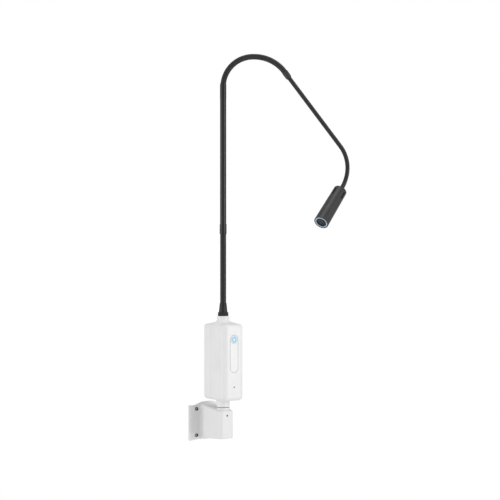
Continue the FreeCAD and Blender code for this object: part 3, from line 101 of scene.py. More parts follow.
def per_mm(size: float) -> float:
    """Texture scale that gives a pattern of the given size in millimetres."""
    return 1 / (size * MM)


def add(tree: Tree, kind: str, settings: dict | None = None, inputs: dict | None = None) -> Node:
    """Add a node, set it up and link it.

    Args:
        tree: the node tree that gets the node.
        kind: the node's type name.
        settings: property names and values.
        inputs: socket names or numbers, each with a value or with the socket that feeds it.

    Returns:
        The new node.
    """
    node = tree.nodes.new(kind)
    for name, value in (settings or {}).items():
        setattr(node, name, value)
    for name, value in (inputs or {}).items():
        if isinstance(value, Socket):
            tree.links.new(value, node.inputs[name])
        else:
            node.inputs[name].default_value = value
    return node


def deselect() -> None:
    """Leave object mode with nothing selected."""
    if bpy.context.object and bpy.context.object.mode != "OBJECT":
        bpy.ops.object.mode_set(mode="OBJECT")
    bpy.ops.object.select_all(action="DESELECT")


def make_active(piece: Piece) -> None:
    """Select one object and nothing else."""
    deselect()
    piece.select_set(True)
    bpy.context.view_layer.objects.active = piece


def new_primitive(name: str, operator: Callable[..., object], **settings: object) -> Piece:
    """Add a primitive with nothing else selected.

    Args:
        name: the new object's name.
        operator: the primitive's operator.
        settings: what the operator is given.

    Returns:
        The new object, in object mode.
    """
    deselect()
    operator(**settings)
    piece = bpy.context.object
    piece.name = name
    piece.data.name = name
    return piece


def pick(piece: Piece, mode: str, wanted: Callable[[object], bool]) -> None:
    """Select the vertices, edges or faces that a test accepts, in edit mode.

    Args:
        piece: the object in edit mode.
        mode: VERT, EDGE or FACE.
        wanted: the test, given each element.
    """
    bpy.ops.mesh.select_mode(type=mode)
    bpy.ops.mesh.select_all(action="DESELECT")
    body = bmesh.from_edit_mesh(piece.data)
    elements = {"VERT": body.verts, "EDGE": body.edges, "FACE": body.faces}[mode]
    for element in elements:
        if wanted(element):
            element.select_set(True)
    body.select_flush_mode()
    bmesh.update_edit_mesh(piece.data)


def apply_modifiers(piece: Piece) -> None:
    """Apply every modifier of a piece, in order."""
    make_active(piece)
    for modifier in list(piece.modifiers):
        bpy.ops.object.modifier_apply(modifier=modifier.name)


def settle(piece: Piece, smooth_degrees: float) -> None:
    """Put a piece's place into its mesh, turn its normals outwards and smooth its round faces.

    Args:
        piece: the object.
        smooth_degrees: edges that bend less than this are shaded smooth.
    """
    make_active(piece)
    bpy.ops.object.transform_apply(location=True, rotation=True, scale=True)
    bpy.ops.object.mode_set(mode="EDIT")
    bpy.ops.mesh.select_all(action="SELECT")
    bpy.ops.mesh.remove_doubles(threshold=WELD)
    bpy.ops.mesh.normals_make_consistent(inside=False)
    bpy.ops.object.mode_set(mode="OBJECT")
    bpy.ops.object.shade_smooth_by_angle(angle=math.radians(smooth_degrees))


def stand(piece: Piece, base: Vector, along: Vector) -> None:
    """Move a piece that is modelled upright at the origin.

    Args:
        piece: the object.
        base: where its foot goes.
        along: the direction that it then stands in.
    """
    turn = Vector((0, 0, 1)).rotation_difference(along).to_matrix().to_4x4()
    piece.matrix_world = Matrix.Translation(base) @ turn
    bpy.context.view_layer.update()


def joint(name: str) -> Vector:
    """Place of one of the frame's joints."""
    found = next(j for j in frame["joints"] if j["name"] == name)
    return Vector(found["pos_m"])


def middle(node: str) -> Vector:
    """Middle of a CAD node's box."""
    low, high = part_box(node)
    return (low + high) / 2


# ---- finishes ----------------------------------------------------------------------------------------
# socket numbers of the Mix node in colour mode, because its socket names repeat
MIX_SHARE, MIX_FIRST, MIX_SECOND, MIX_COLOUR = 0, 6, 7, 2
# noise seldom leaves this range
NOISE_LOW, NOISE_HIGH = 0.3, 0.7


@dataclass(frozen=True)
class Finish(ABC):
    """One surface finish: its name, base colour and roughness."""

    name: str
    colour: str
    roughness: float

    def make(self) -> bpy.types.Material:
        """Build the material once and hand it out after that.

        Returns:
            The finished material.
        """
        known = bpy.data.materials.get(self.name)
        if known:
            return known
        material = bpy.data.materials.new(self.name)
        material.use_nodes = True
        tree = material.node_tree
        tree.nodes.clear()
        shader = add(tree, "ShaderNodeBsdfPrincipled", inputs={"Base Color": linear(self.colour)})
        shader.inputs["Roughness"].default_value = self.roughness
        place = add(tree, "ShaderNodeTexCoord").outputs["Object"]
        self.shade(tree, shader, place)
        add(tree, "ShaderNodeOutputMaterial", inputs={"Surface": shader.outputs[0]})
        return material

    @abstractmethod
    def shade(self, tree: Tree, shader: Node, place: Socket) -> None:
        """Add what makes this finish itself.

        Args:
            tree: the material's node tree.
            shader: its Principled shader.
            place: the object coordinates.
        """


def grain(tree: Tree, place: Socket, size: float, detail: float = 2) -> Socket:
    """Noise with features of a given size.

    Args:
        tree: the material's node tree.
        place: the object coordinates.
        size: the features' size, in millimetres.
        detail: how many finer layers of noise lie on it.

    Returns:
        The noise, about 0.5 on average.
    """
    inputs = {"Vector": place, "Scale": per_mm(size), "Detail": detail}
    return add(tree, "ShaderNodeTexNoise", inputs=inputs).outputs["Fac"]


def spread(tree: Tree, value: Socket, low: float, high: float) -> Socket:
    """Map the middle of a noise onto a range.

    Args:
        tree: the material's node tree.
        value: the noise.
        low: what its dark parts become.
        high: what its bright parts become.

    Returns:
        The mapped value.
    """
    noise = {"Value": value, "From Min": NOISE_LOW, "From Max": NOISE_HIGH}
    return add(tree, "ShaderNodeMapRange", inputs=noise | {"To Min": low, "To Max": high}).outputs[0]


def tint(tree: Tree, share: Socket, first: str, second: str) -> Socket:
    """Blend two hex colours by a share from 0 to 1."""
    inputs = {MIX_SHARE: share, MIX_FIRST: linear(first), MIX_SECOND: linear(second)}
    return add(tree, "ShaderNodeMix", {"data_type": "RGBA"}, inputs).outputs[MIX_COLOUR]


def emboss(tree: Tree, shader: Node, height: Socket, depth: float, strength: float) -> None:
    """Give a shader a bump.

    Args:
        tree: the material's node tree.
        shader: its Principled shader.
        height: the relief, from 0 to 1.
        depth: the relief's depth, in millimetres.
        strength: how much of it the eye gets, from 0 to 1.
    """
    inputs = {"Height": height, "Distance": depth * MM, "Strength": strength}
    bump = add(tree, "ShaderNodeBump", inputs=inputs)
    tree.links.new(bump.outputs[0], shader.inputs["Normal"])


def vector_length(tree: Tree, vector: Socket) -> Socket:
    """Length of a vector."""
    return add(tree, "ShaderNodeVectorMath", {"operation": "LENGTH"}, {0: vector}).outputs["Value"]


def banded(tree: Tree, value: Socket, full: float, bands: Bands) -> Socket:
    """Colour bands along a distance.

    Args:
        tree: the material's node tree.
        value: the distance, in metres.
        full: the distance in millimetres that counts as 1.
        bands: where each colour stands, from 0 to 1, and its hex code.

    Returns:
        The colour.
    """
    share = add(tree, "ShaderNodeMapRange", inputs={"Value": value, "From Max": full * MM})
    ramp = add(tree, "ShaderNodeValToRGB", inputs={"Fac": share.outputs[0]})
    marks = ramp.color_ramp.elements
    marks.remove(marks[1])
    marks[0].position, marks[0].color = bands[0][0], linear(bands[0][1])
    for position, code in bands[1:]:
        marks.new(position).color = linear(code)
    return ramp.outputs["Color"]


@dataclass(frozen=True)
class Moulding(Finish):
    """Injection-moulded plastic: a spark-eroded grain and a faint cloudiness in the colour."""

    shade_colour: str
    grain_size: float = 0.7
    grain_depth: float = 0.012
    specular: float = 0.5
    cloud_size: ClassVar[float] = 40
    gloss_swing: ClassVar[float] = 0.04
    grain_strength: ClassVar[float] = 0.35
    ior: ClassVar[float] = 1.5

    def shade(self, tree: Tree, shader: Node, place: Socket) -> None:
        """Wide colour clouds, a roughness that follows the grain, and the grain's bump."""
        cloud = spread(tree, grain(tree, place, self.cloud_size, 1), 0, 1)
        tree.links.new(tint(tree, cloud, self.colour, self.shade_colour), shader.inputs["Base Color"])
        fine = grain(tree, place, self.grain_size)
        rough = spread(tree, fine, self.roughness - self.gloss_swing, self.roughness + self.gloss_swing)
        tree.links.new(rough, shader.inputs["Roughness"])
        emboss(tree, shader, fine, self.grain_depth, self.grain_strength)
        shader.inputs["IOR"].default_value = self.ior
        shader.inputs["Specular IOR Level"].default_value = self.specular


@dataclass(frozen=True)
class PowderCoat(Finish):
    """Baked powder paint on metal: a soft orange peel over a satin sheen."""

    shade_colour: str
    peel_size: float = 1.6
    peel_depth: float = 0.02
    specular: float = 0.5
    speckle_size: ClassVar[float] = 0.5
    patch_size: ClassVar[float] = 25
    gloss_swing: ClassVar[float] = 0.05
    peel_strength: ClassVar[float] = 0.4
    ior: ClassVar[float] = 1.52

    def shade(self, tree: Tree, shader: Node, place: Socket) -> None:
        """Orange peel, fine pigment speckle and slow changes of gloss."""
        speckle = spread(tree, grain(tree, place, self.speckle_size), 0, 1)
        tree.links.new(tint(tree, speckle, self.colour, self.shade_colour), shader.inputs["Base Color"])
        patch = grain(tree, place, self.patch_size, 1)
        rough = spread(tree, patch, self.roughness - self.gloss_swing, self.roughness + self.gloss_swing)
        tree.links.new(rough, shader.inputs["Roughness"])
        emboss(tree, shader, grain(tree, place, self.peel_size), self.peel_depth, self.peel_strength)
        shader.inputs["IOR"].default_value = self.ior
        shader.inputs["Specular IOR Level"].default_value = self.specular


@dataclass(frozen=True)
class Elastomer(Finish):
    """Black rubber, vinyl or silicone: dull, with paler worn patches and a pebbled skin."""

    worn_colour: str
    pebble_size: float = 0.45
    specular: float = 0.5
    mark_size: ClassVar[float] = 14
    patch_size: ClassVar[float] = 6
    gloss_swing: ClassVar[float] = 0.06
    pebble_depth: ClassVar[float] = 0.02
    pebble_strength: ClassVar[float] = 0.3
    ior: ClassVar[float] = 1.5

    def shade(self, tree: Tree, shader: Node, place: Socket) -> None:
        """Paler handling marks, uneven dullness and a pebbled skin."""
        mark = spread(tree, grain(tree, place, self.mark_size, 3), 0, 1)
        tree.links.new(tint(tree, mark, self.colour, self.worn_colour), shader.inputs["Base Color"])
        patch = grain(tree, place, self.patch_size)
        rough = spread(tree, patch, self.roughness - self.gloss_swing, self.roughness + self.gloss_swing)
        tree.links.new(rough, shader.inputs["Roughness"])
        pebbles = grain(tree, place, self.pebble_size)
        emboss(tree, shader, pebbles, self.pebble_depth, self.pebble_strength)
        shader.inputs["IOR"].default_value = self.ior
        shader.inputs["Specular IOR Level"].default_value = self.specular


@dataclass(frozen=True)
class Anodised(Finish):
    """Turned and anodised aluminium: a dyed oxide skin with fine lathe lines across the upright."""

    light_colour: str = "404042"
    line_pitch: float = 0.22
    axis: Place = (0.0, 0.0, 1.0)
    metallic: float = 0.55
    cloud_size: ClassVar[float] = 18
    gloss_swing: ClassVar[float] = 0.05
    line_depth: ClassVar[float] = 0.004
    line_strength: ClassVar[float] = 0.15

    def shade(self, tree: Tree, shader: Node, place: Socket) -> None:
        """Lathe lines across the axis, and a dye that varies slowly."""
        cloud = spread(tree, grain(tree, place, self.cloud_size), 0, 1)
        tree.links.new(tint(tree, cloud, self.colour, self.light_colour), shader.inputs["Base Color"])
        along = add(tree, "ShaderNodeVectorMath", {"operation": "DOT_PRODUCT"}, {0: place, 1: self.axis})
        turns = {"Value": along.outputs["Value"], "To Max": per_mm(self.line_pitch)}
        pitch = add(tree, "ShaderNodeMapRange", {"clamp": False}, turns).outputs[0]
        noise = {"W": pitch, "Scale": 1.0}
        lines = add(tree, "ShaderNodeTexNoise", {"noise_dimensions": "1D"}, noise).outputs["Fac"]
        rough = spread(tree, lines, self.roughness - self.gloss_swing, self.roughness + self.gloss_swing)
        tree.links.new(rough, shader.inputs["Roughness"])
        emboss(tree, shader, lines, self.line_depth, self.line_strength)
        shader.inputs["Metallic"].default_value = self.metallic


@dataclass(frozen=True)
class BareMetal(Finish):
    """Bright or blackened metal with fine scratches."""

    scratch_colour: str
    metallic: float = 1.0
    specular: float = 0.5
    scratch_size: ClassVar[float] = 0.3
    gloss_swing: ClassVar[float] = 0.12
    scratch_depth: ClassVar[float] = 0.005
    scratch_strength: ClassVar[float] = 0.3

    def shade(self, tree: Tree, shader: Node, place: Socket) -> None:
        """Fine scratches and an uneven polish."""
        fine = grain(tree, place, self.scratch_size, 3)
        share = spread(tree, fine, 0, 1)
        tree.links.new(tint(tree, share, self.colour, self.scratch_colour), shader.inputs["Base Color"])
        rough = spread(tree, fine, self.roughness, self.roughness + self.gloss_swing)
        tree.links.new(rough, shader.inputs["Roughness"])
        emboss(tree, shader, fine, self.scratch_depth, self.scratch_strength)
        shader.inputs["Metallic"].default_value = self.metallic
        shader.inputs["Specular IOR Level"].default_value = self.specular


@dataclass(frozen=True)
class ClearMoulding(Finish):
    """Clear or smoked acrylic, moulded and polished."""

    smear_size: ClassVar[float] = 5
    gloss_swing: ClassVar[float] = 0.03
    ior: ClassVar[float] = 1.49

    def shade(self, tree: Tree, shader: Node, place: Socket) -> None:
        """Full transmission with a faint smear of polish."""
        smear = grain(tree, place, self.smear_size)
        rough = spread(tree, smear, self.roughness, self.roughness + self.gloss_swing)
        tree.links.new(rough, shader.inputs["Roughness"])
        shader.inputs["Transmission Weight"].default_value = 1.0
        shader.inputs["IOR"].default_value = self.ior


@dataclass(frozen=True)
class LightGuide(Finish):
    """Milky polycarbonate light guide with painted edges; a faint painted glow of its own colour
    brightens it, with no lit source behind it.
    """

    centre: Place = (0.0, 0.0, 0.0)
    axis: Place = (0.0, 0.0, 1.0)
    radius: float = 17.2
    painted_glow: float = 0.04
    bands: Bands = (
        (0.765, "26303c"),
        (0.785, "5f82a6"),
        (0.815, "a9c9e2"),
        (0.905, "b4cede"),
        (0.930, "6c8296"),
        (0.950, "20262d"),
    )
    grain_size: ClassVar[float] = 0.8
    grain_depth: ClassVar[float] = 0.01
    grain_strength: ClassVar[float] = 0.2
    ior: ClassVar[float] = 1.58

    def shade(self, tree: Tree, shader: Node, place: Socket) -> None:
        """Distance from the head's axis picks the milky band or a dark painted edge."""
        local = add(tree, "ShaderNodeVectorMath", {"operation": "SUBTRACT"}, {0: place, 1: self.centre})
        sides = {0: local.outputs[0], 1: self.axis}
        across = add(tree, "ShaderNodeVectorMath", {"operation": "CROSS_PRODUCT"}, sides)
        away = vector_length(tree, across.outputs[0])
        colour = banded(tree, away, self.radius, self.bands)
        tree.links.new(colour, shader.inputs["Base Color"])
        # painted glow: the ring's own colour is emitted faintly to brighten it, though no light source
        # in the head is lit
        tree.links.new(colour, shader.inputs["Emission Color"])
        shader.inputs["Emission Strength"].default_value = self.painted_glow
        shader.inputs["IOR"].default_value = self.ior
        emboss(tree, shader, grain(tree, place, self.grain_size), self.grain_depth, self.grain_strength)


@dataclass(frozen=True)
class SensorFilm(Finish):
    """Printed polyester film over the touchless sensor: a pale dot and a ring on a blue field."""

    centre: Place = (0.0, 0.0, 0.0)
    radius: float = 10.4
    bands: Bands = (
        (0.00, "dce8ee"),
        (0.20, "dce8ee"),
        (0.25, "a4c6d6"),
        (0.40, "a4c6d6"),
        (0.45, "7ea2b8"),
        (0.54, "7ea2b8"),
        (0.59, "a4c6d6"),
        (0.93, "aecddb"),
        (0.98, "c6dce6"),
    )
    grain_size: ClassVar[float] = 0.3
    grain_depth: ClassVar[float] = 0.004
    grain_strength: ClassVar[float] = 0.25
    ior: ClassVar[float] = 1.57

    def shade(self, tree: Tree, shader: Node, place: Socket) -> None:
        """Distance from the disc's middle picks the printed band."""
        offset = tuple(-c for c in self.centre)
        local = add(tree, "ShaderNodeMapping", inputs={"Vector": place, "Location": offset}).outputs[0]
        colour = banded(tree, vector_length(tree, local), self.radius, self.bands)
        tree.links.new(colour, shader.inputs["Base Color"])
        emboss(tree, shader, grain(tree, place, self.grain_size), self.grain_depth, self.grain_strength)
        shader.inputs["IOR"].default_value = self.ior


@dataclass(frozen=True)
class StripFilm(Finish):
    """Inlaid polycarbonate film on the front: plain, with a fine grey line along its edge that is
    painted shade of the groove round the inlay.
    """

    low: float
    high: float
    half_width: float
    bands: Bands = (
        (0.00, "dfdfdf"),
        (0.88, "dfdfdf"),
        # the grey band is painted shade: it stands for the shadow in the groove round the inlay
        (0.91, "b9b9ba"),
        (0.96, "b9b9ba"),
    )
    grain_size: ClassVar[float] = 0.4
    grain_depth: ClassVar[float] = 0.004
    grain_strength: ClassVar[float] = 0.3
    ior: ClassVar[float] = 1.58

    def shade(self, tree: Tree, shader: Node, place: Socket) -> None:
        """Distance from the strip's upright middle line picks the plain field or the grey edge line of
        painted shade.
        """
        parts = add(tree, "ShaderNodeSeparateXYZ", inputs={0: place}).outputs
        span = {"Value": parts["Z"], "Min": self.low, "Max": self.high}
        nearest = add(tree, "ShaderNodeClamp", inputs=span).outputs[0]
        rise = add(tree, "ShaderNodeMath", {"operation": "SUBTRACT"}, {0: parts["Z"], 1: nearest})
        flat = add(tree, "ShaderNodeCombineXYZ", inputs={"X": parts["X"], "Z": rise.outputs[0]})
        colour = banded(tree, vector_length(tree, flat.outputs[0]), self.half_width, self.bands)
        tree.links.new(colour, shader.inputs["Base Color"])
        emboss(tree, shader, grain(tree, place, self.grain_size), self.grain_depth, self.grain_strength)
        shader.inputs["IOR"].default_value = self.ior


@dataclass(frozen=True)
class BoardLaminate(Finish):
    """Glass-epoxy circuit board: green solder mask over copper tracks."""

    track_colour: str = "2f7a45"
    track_pitch: float = 1.9
    track_height: ClassVar[float] = 0.03
    track_strength: ClassVar[float] = 0.3
    stagger: ClassVar[float] = 0.35

    def shade(self, tree: Tree, shader: Node, place: Socket) -> None:
        """Tracks as the edges of square cells under the mask."""
        cells = {"Vector": place, "Scale": per_mm(self.track_pitch), "Randomness": self.stagger}
        track = add(tree, "ShaderNodeTexVoronoi", {"distance": "MANHATTAN"}, cells).outputs["Distance"]
        share = spread(tree, track, 0, 1)
        tree.links.new(tint(tree, share, self.colour, self.track_colour), shader.inputs["Base Color"])
        emboss(tree, shader, track, self.track_height, self.track_strength)


class Paint(Enum):
    """Every finish on the lamp."""

    # baked polyester powder on the cast bracket: white, satin, faint orange peel
    WHITE_POWDER = PowderCoat("white_polyester_powder_coat", "e6e6e6", 0.42, "e0e0e0")
    # moulded ABS housing and collar: white with a fine spark-eroded grain
    WHITE_ABS = Moulding("white_moulded_abs", "e7e7e7", 0.40, "e3e3e3")
    # glass-filled nylon bushes and washer: near black, dull
    BLACK_NYLON = Moulding("black_glass_filled_nylon", "0c0c0d", 0.6, "121213", 0.5, 0.02, 0.3)
    # natural acetal bearing liner: milky, slightly waxy
    ACETAL = Moulding("natural_acetal", "dedbd0", 0.35, "d5d2c6", 1.0, 0.01)
    # moulded component bodies: dull black epoxy
    EPOXY = Moulding("black_moulding_epoxy", "1b1b1c", 0.6, "222223", 0.4, 0.02, 0.4)
    # moulded boot: black rubber, dull, paler where it is handled
    BOOT_RUBBER = Elastomer("black_moulded_rubber", "141415", 0.48, "1c1c1d", 0.45, 0.4)
    # ribbed gooseneck sleeve: extruded black vinyl, satin
    SLEEVE_VINYL = Elastomer("black_extruded_vinyl", "161617", 0.42, "1e1e1f", 0.45, 0.4)
    # lead insulation: black silicone, waxy
    SILICONE = Elastomer("black_silicone_insulation", "181818", 0.5, "222222")
    # baked powder on the steel tube and its collars: black, satin
    BLACK_POWDER = PowderCoat("black_polyester_powder_coat", "141415", 0.36, "1a1a1b", 1.2, 0.012, 0.4)
    # turned and anodised aluminium head and adapter: dark grey with a soft lengthwise gloss
    BLACK_ANODISED = Anodised("black_anodised_aluminium", "3a3a3c", 0.46)
    # bare extruded aluminium heat sink: pale, drawn lines
    BARE_ALUMINIUM = BareMetal("extruded_aluminium", "b9babc", 0.30, "9fa0a2")
    # cold-drawn steel post, nuts and screws: bright
    BRIGHT_STEEL = BareMetal("cold_drawn_steel", "a5a5a6", 0.25, "8c8c8e")
    # black oxide on alloy-steel screws: a dull, near black conversion skin that hides the metal's shine
    OXIDE_STEEL = BareMetal("black_oxide_steel", "0d0d0e", 0.6, "151516", 0.0, 0.2)
    # phosphor over the light source: soft yellow
    PHOSPHOR = Moulding("yellow_phosphor_silicone", "d8c15a", 0.30, "cdb44a", 0.3, 0.01)
    # polished acrylic lens: clear, bright edges
    ACRYLIC = ClearMoulding("polished_clear_acrylic", "f4f6f8", 0.01)
    # smoked acrylic window over the lens: brown-black, glossy
    SMOKED = ClearMoulding("smoked_acrylic", "6b625c", 0.03)
    # circuit boards
    LAMINATE = BoardLaminate("green_epoxy_glass_laminate", "14502a", 0.35)


DRESSED: dict[Paint, tuple[str, ...]] = {
    Paint.WHITE_POWDER: ("bracket_casting",),
    Paint.WHITE_ABS: ("housing_front", "housing_back", "post_collar"),
    Paint.BLACK_NYLON: ("wall_bushes", "swivel_washer", "power_inlet"),
    Paint.ACETAL: ("socket_liner",),
    Paint.EPOXY: ("driver_parts",),
    Paint.BOOT_RUBBER: ("head_seal",),
    Paint.SILICONE: ("wiring_loom", "arm_cable", "head_lead"),
    Paint.BLACK_POWDER: ("mid_tube", "lower_ferrule", "upper_ferrule", "neck_fitting"),
    Paint.BLACK_ANODISED: ("neck_adapter", "head_gland", "head_rear_cap", "head_barrel", "lens_holder"),
    Paint.BARE_ALUMINIUM: ("heat_sink",),
    Paint.BRIGHT_STEEL: ("post_tube", "post_nut", "neck_nut", "cover_screws")
    + tuple(f"lower_core_{k}" for k in range(1, 4))
    + tuple(f"upper_core_{k}" for k in range(1, 5)),
    Paint.OXIDE_STEEL: ("bracket_set_screw", "front_screw", "board_screws"),
    Paint.PHOSPHOR: ("led_emitter",),
    Paint.ACRYLIC: ("collimator_lens",),
    Paint.SMOKED: ("front_window",),
    Paint.LAMINATE: ("sensor_board", "driver_board", "led_board"),
}


def dress(piece: Piece, finish: Finish) -> None:
    """Give every material slot of an object one finish."""
    material = finish.make()
    if not piece.material_slots:
        piece.data.materials.append(material)
    for slot in piece.material_slots:
        slot.material = material


# ---- centreline of the arm ---------------------------------------------------------------------------
# slack for lengths that are equal but for rounding, in millimetres
ROUNDING = 1e-9
# a bend below this angle, in radians, counts as straight
STRAIGHT = 1e-4
# points on the curve for each straight or bent stretch
CURVE_STEPS = 64


@dataclass(frozen=True)
class Station:
    """A place on the arm's centreline, in metres."""

    point: Vector
    along: Vector
    axis: Vector


@dataclass(frozen=True)
class Run:
    """One straight or evenly bent stretch, in millimetres and degrees."""

    length: float
    radius: float = 0.0
    roll: float = 0.0

    def after(self, start: Station, length: float) -> Station:
        """The station at a length along this run.

        Args:
            start: the station where the run starts.
            length: how far along it, in millimetres.

        Returns:
            The station there.
        """
        if not self.radius:
            return Station(start.point + start.along * length * MM, start.along, start.axis)
        turn = Matrix.Rotation(length / self.radius, 3, start.axis)
        centre = start.point + start.axis.cross(start.along) * self.radius * MM
        return Station(centre + turn @ (start.point - centre), turn @ start.along, start.axis)


@dataclass
class Centreline:
    """The arm's centreline: runs laid end to end from the neck's top face."""

    start: Station
    runs: Sequence[Run]
    places: list[tuple[float, Station, Run]] = field(default_factory=list)
    length: float = 0.0

    def __post_init__(self) -> None:
        """Lay the runs end to end."""
        place = self.start
        for run in self.runs:
            roll = Matrix.Rotation(math.radians(run.roll), 3, place.along)
            place = Station(place.point, place.along, roll @ place.axis)
            self.places.append((self.length, place, run))
            place = run.after(place, run.length)
            self.length += run.length

    def station(self, distance: float) -> Station:
        """The station at a distance.

        Args:
            distance: how far along the arm, in millimetres.

        Returns:
            The station there.
        """
        held = (entry for entry in self.places if distance <= entry[0] + entry[2].length + ROUNDING)
        begins, place, run = next(held, self.places[-1])
        return run.after(place, distance - begins)

    def stops(self, low: float, high: float) -> list[float]:
        """Distances where the centreline starts, changes run or ends between two distances."""
        inner = [begins for begins, _, _ in self.places if low < begins < high]
        return [low, *inner, high]

    def curve(self, name: str, low: float, high: float) -> Piece:
        """A Bezier curve that follows the centreline, each bend as one pair of handles.

        Args:
            name: the curve object's name.
            low: where it starts, in millimetres along the arm.
            high: where it ends.

        Returns:
            The curve object, at the origin.
        """
        data = bpy.data.curves.new(name, "CURVE")
        data.dimensions = "3D"
        data.resolution_u = CURVE_STEPS
        spline = data.splines.new("BEZIER")
        stops = self.stops(low, high)
        spline.bezier_points.add(len(stops) - 1)
        for point, distance in zip(spline.bezier_points, stops):
            point.co = self.station(distance).point
            point.handle_left_type = "FREE"
            point.handle_right_type = "FREE"
        for k in range(len(stops) - 1):
            first, last = self.station(stops[k]), self.station(stops[k + 1])
            turn = first.along.angle(last.along)
            span = (stops[k + 1] - stops[k]) * MM
            reach = span / 3 if turn < STRAIGHT else 4 / 3 * math.tan(turn / 4) * span / turn
            spline.bezier_points[k].handle_right = first.point + first.along * reach
            spline.bezier_points[k + 1].handle_left = last.point - last.along * reach
        spline.bezier_points[0].handle_left = spline.bezier_points[0].co
        spline.bezier_points[-1].handle_right = spline.bezier_points[-1].co
        curve = bpy.data.objects.new(name, data)
        bpy.context.scene.collection.objects.link(curve)
        return curve


@dataclass
class ArmLayout:
    """Driving lengths of the arm, in millimetres from the neck's top face."""

    azimuth: float = -34.0
    boot: float = 33.1
    lower_flex: float = 176.3
    lower_ferrule: float = 24.7
    tube: float = 320.5
    upper_ferrule: float = 33.5
    upper_lip: float = 4.5
    bend_before_lip: float = 3.5
    crest_radius: float = 76.3
    crest_angle: float = 90.0
    crest_flat: float = 3.0
    fall_radius: float = 96.6
    fall_angle: float = 53.13
    adapter: float = 20.0
    slope: float = 236.5
    elbow_radius: float = 92.4
    elbow_angle: float = 51.1
    wrist_radius: float = 48.0
    wrist_angle: float = 37.3
    wrist_roll: float = -65.4
    wrist_straight: float = 12.0
    gland_seat: float = 9.6

    @staticmethod
    def arc(radius: float, degrees: float) -> float:
        """Length of an arc."""
        return radius * math.radians(degrees)

    @property
    def ferrule_start(self) -> float:
        """Where the lower gooseneck meets its ferrule."""
        return self.boot + self.lower_flex

    @property
    def upper_ferrule_end(self) -> float:
        """Top of the upper ferrule's collar, under its lip."""
        return self.ferrule_start + self.lower_ferrule + self.tube + self.upper_ferrule

    @property
    def lip_end(self) -> float:
        """Where the upper gooseneck leaves its ferrule."""
        return self.upper_ferrule_end + self.upper_lip

    @property
    def adapter_start(self) -> float:
        """Where the upper gooseneck meets the adapter."""
        crest = self.arc(self.crest_radius, self.crest_angle) + self.crest_flat
        fall = self.arc(self.fall_radius, self.fall_angle)
        return self.upper_ferrule_end - self.bend_before_lip + crest + fall

    @property
    def adapter_end(self) -> float:
        """Where the thin gooseneck leaves the adapter."""
        return self.adapter_start + self.adapter

    def centreline(self) -> Centreline:
        """Lay the arm's centreline.

        Returns:
            The centreline from the neck's top face to the thin gooseneck's end in the head.
        """
        lean = math.radians(self.azimuth)
        foot = joint("housing_swivel").xy.to_3d()
        foot.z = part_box("neck_boot")[0].z
        start = Station(foot, Vector((0, 0, 1)), Vector((-math.sin(lean), math.cos(lean), 0)))
        runs = [
            Run(self.upper_ferrule_end - self.bend_before_lip),
            Run(self.arc(self.crest_radius, self.crest_angle), self.crest_radius),
            Run(self.crest_flat),
            Run(self.arc(self.fall_radius, self.fall_angle), self.fall_radius),
            Run(self.slope),
            Run(self.arc(self.elbow_radius, self.elbow_angle), self.elbow_radius),
            Run(self.arc(self.wrist_radius, self.wrist_angle), self.wrist_radius, self.wrist_roll),
            Run(self.wrist_straight + self.gland_seat),
        ]
        return Centreline(start, runs)


# ---- flexible stretches ------------------------------------------------------------------------------
# ribs closer than this are joined, in metres
RIB_WELD = 0.01 * MM


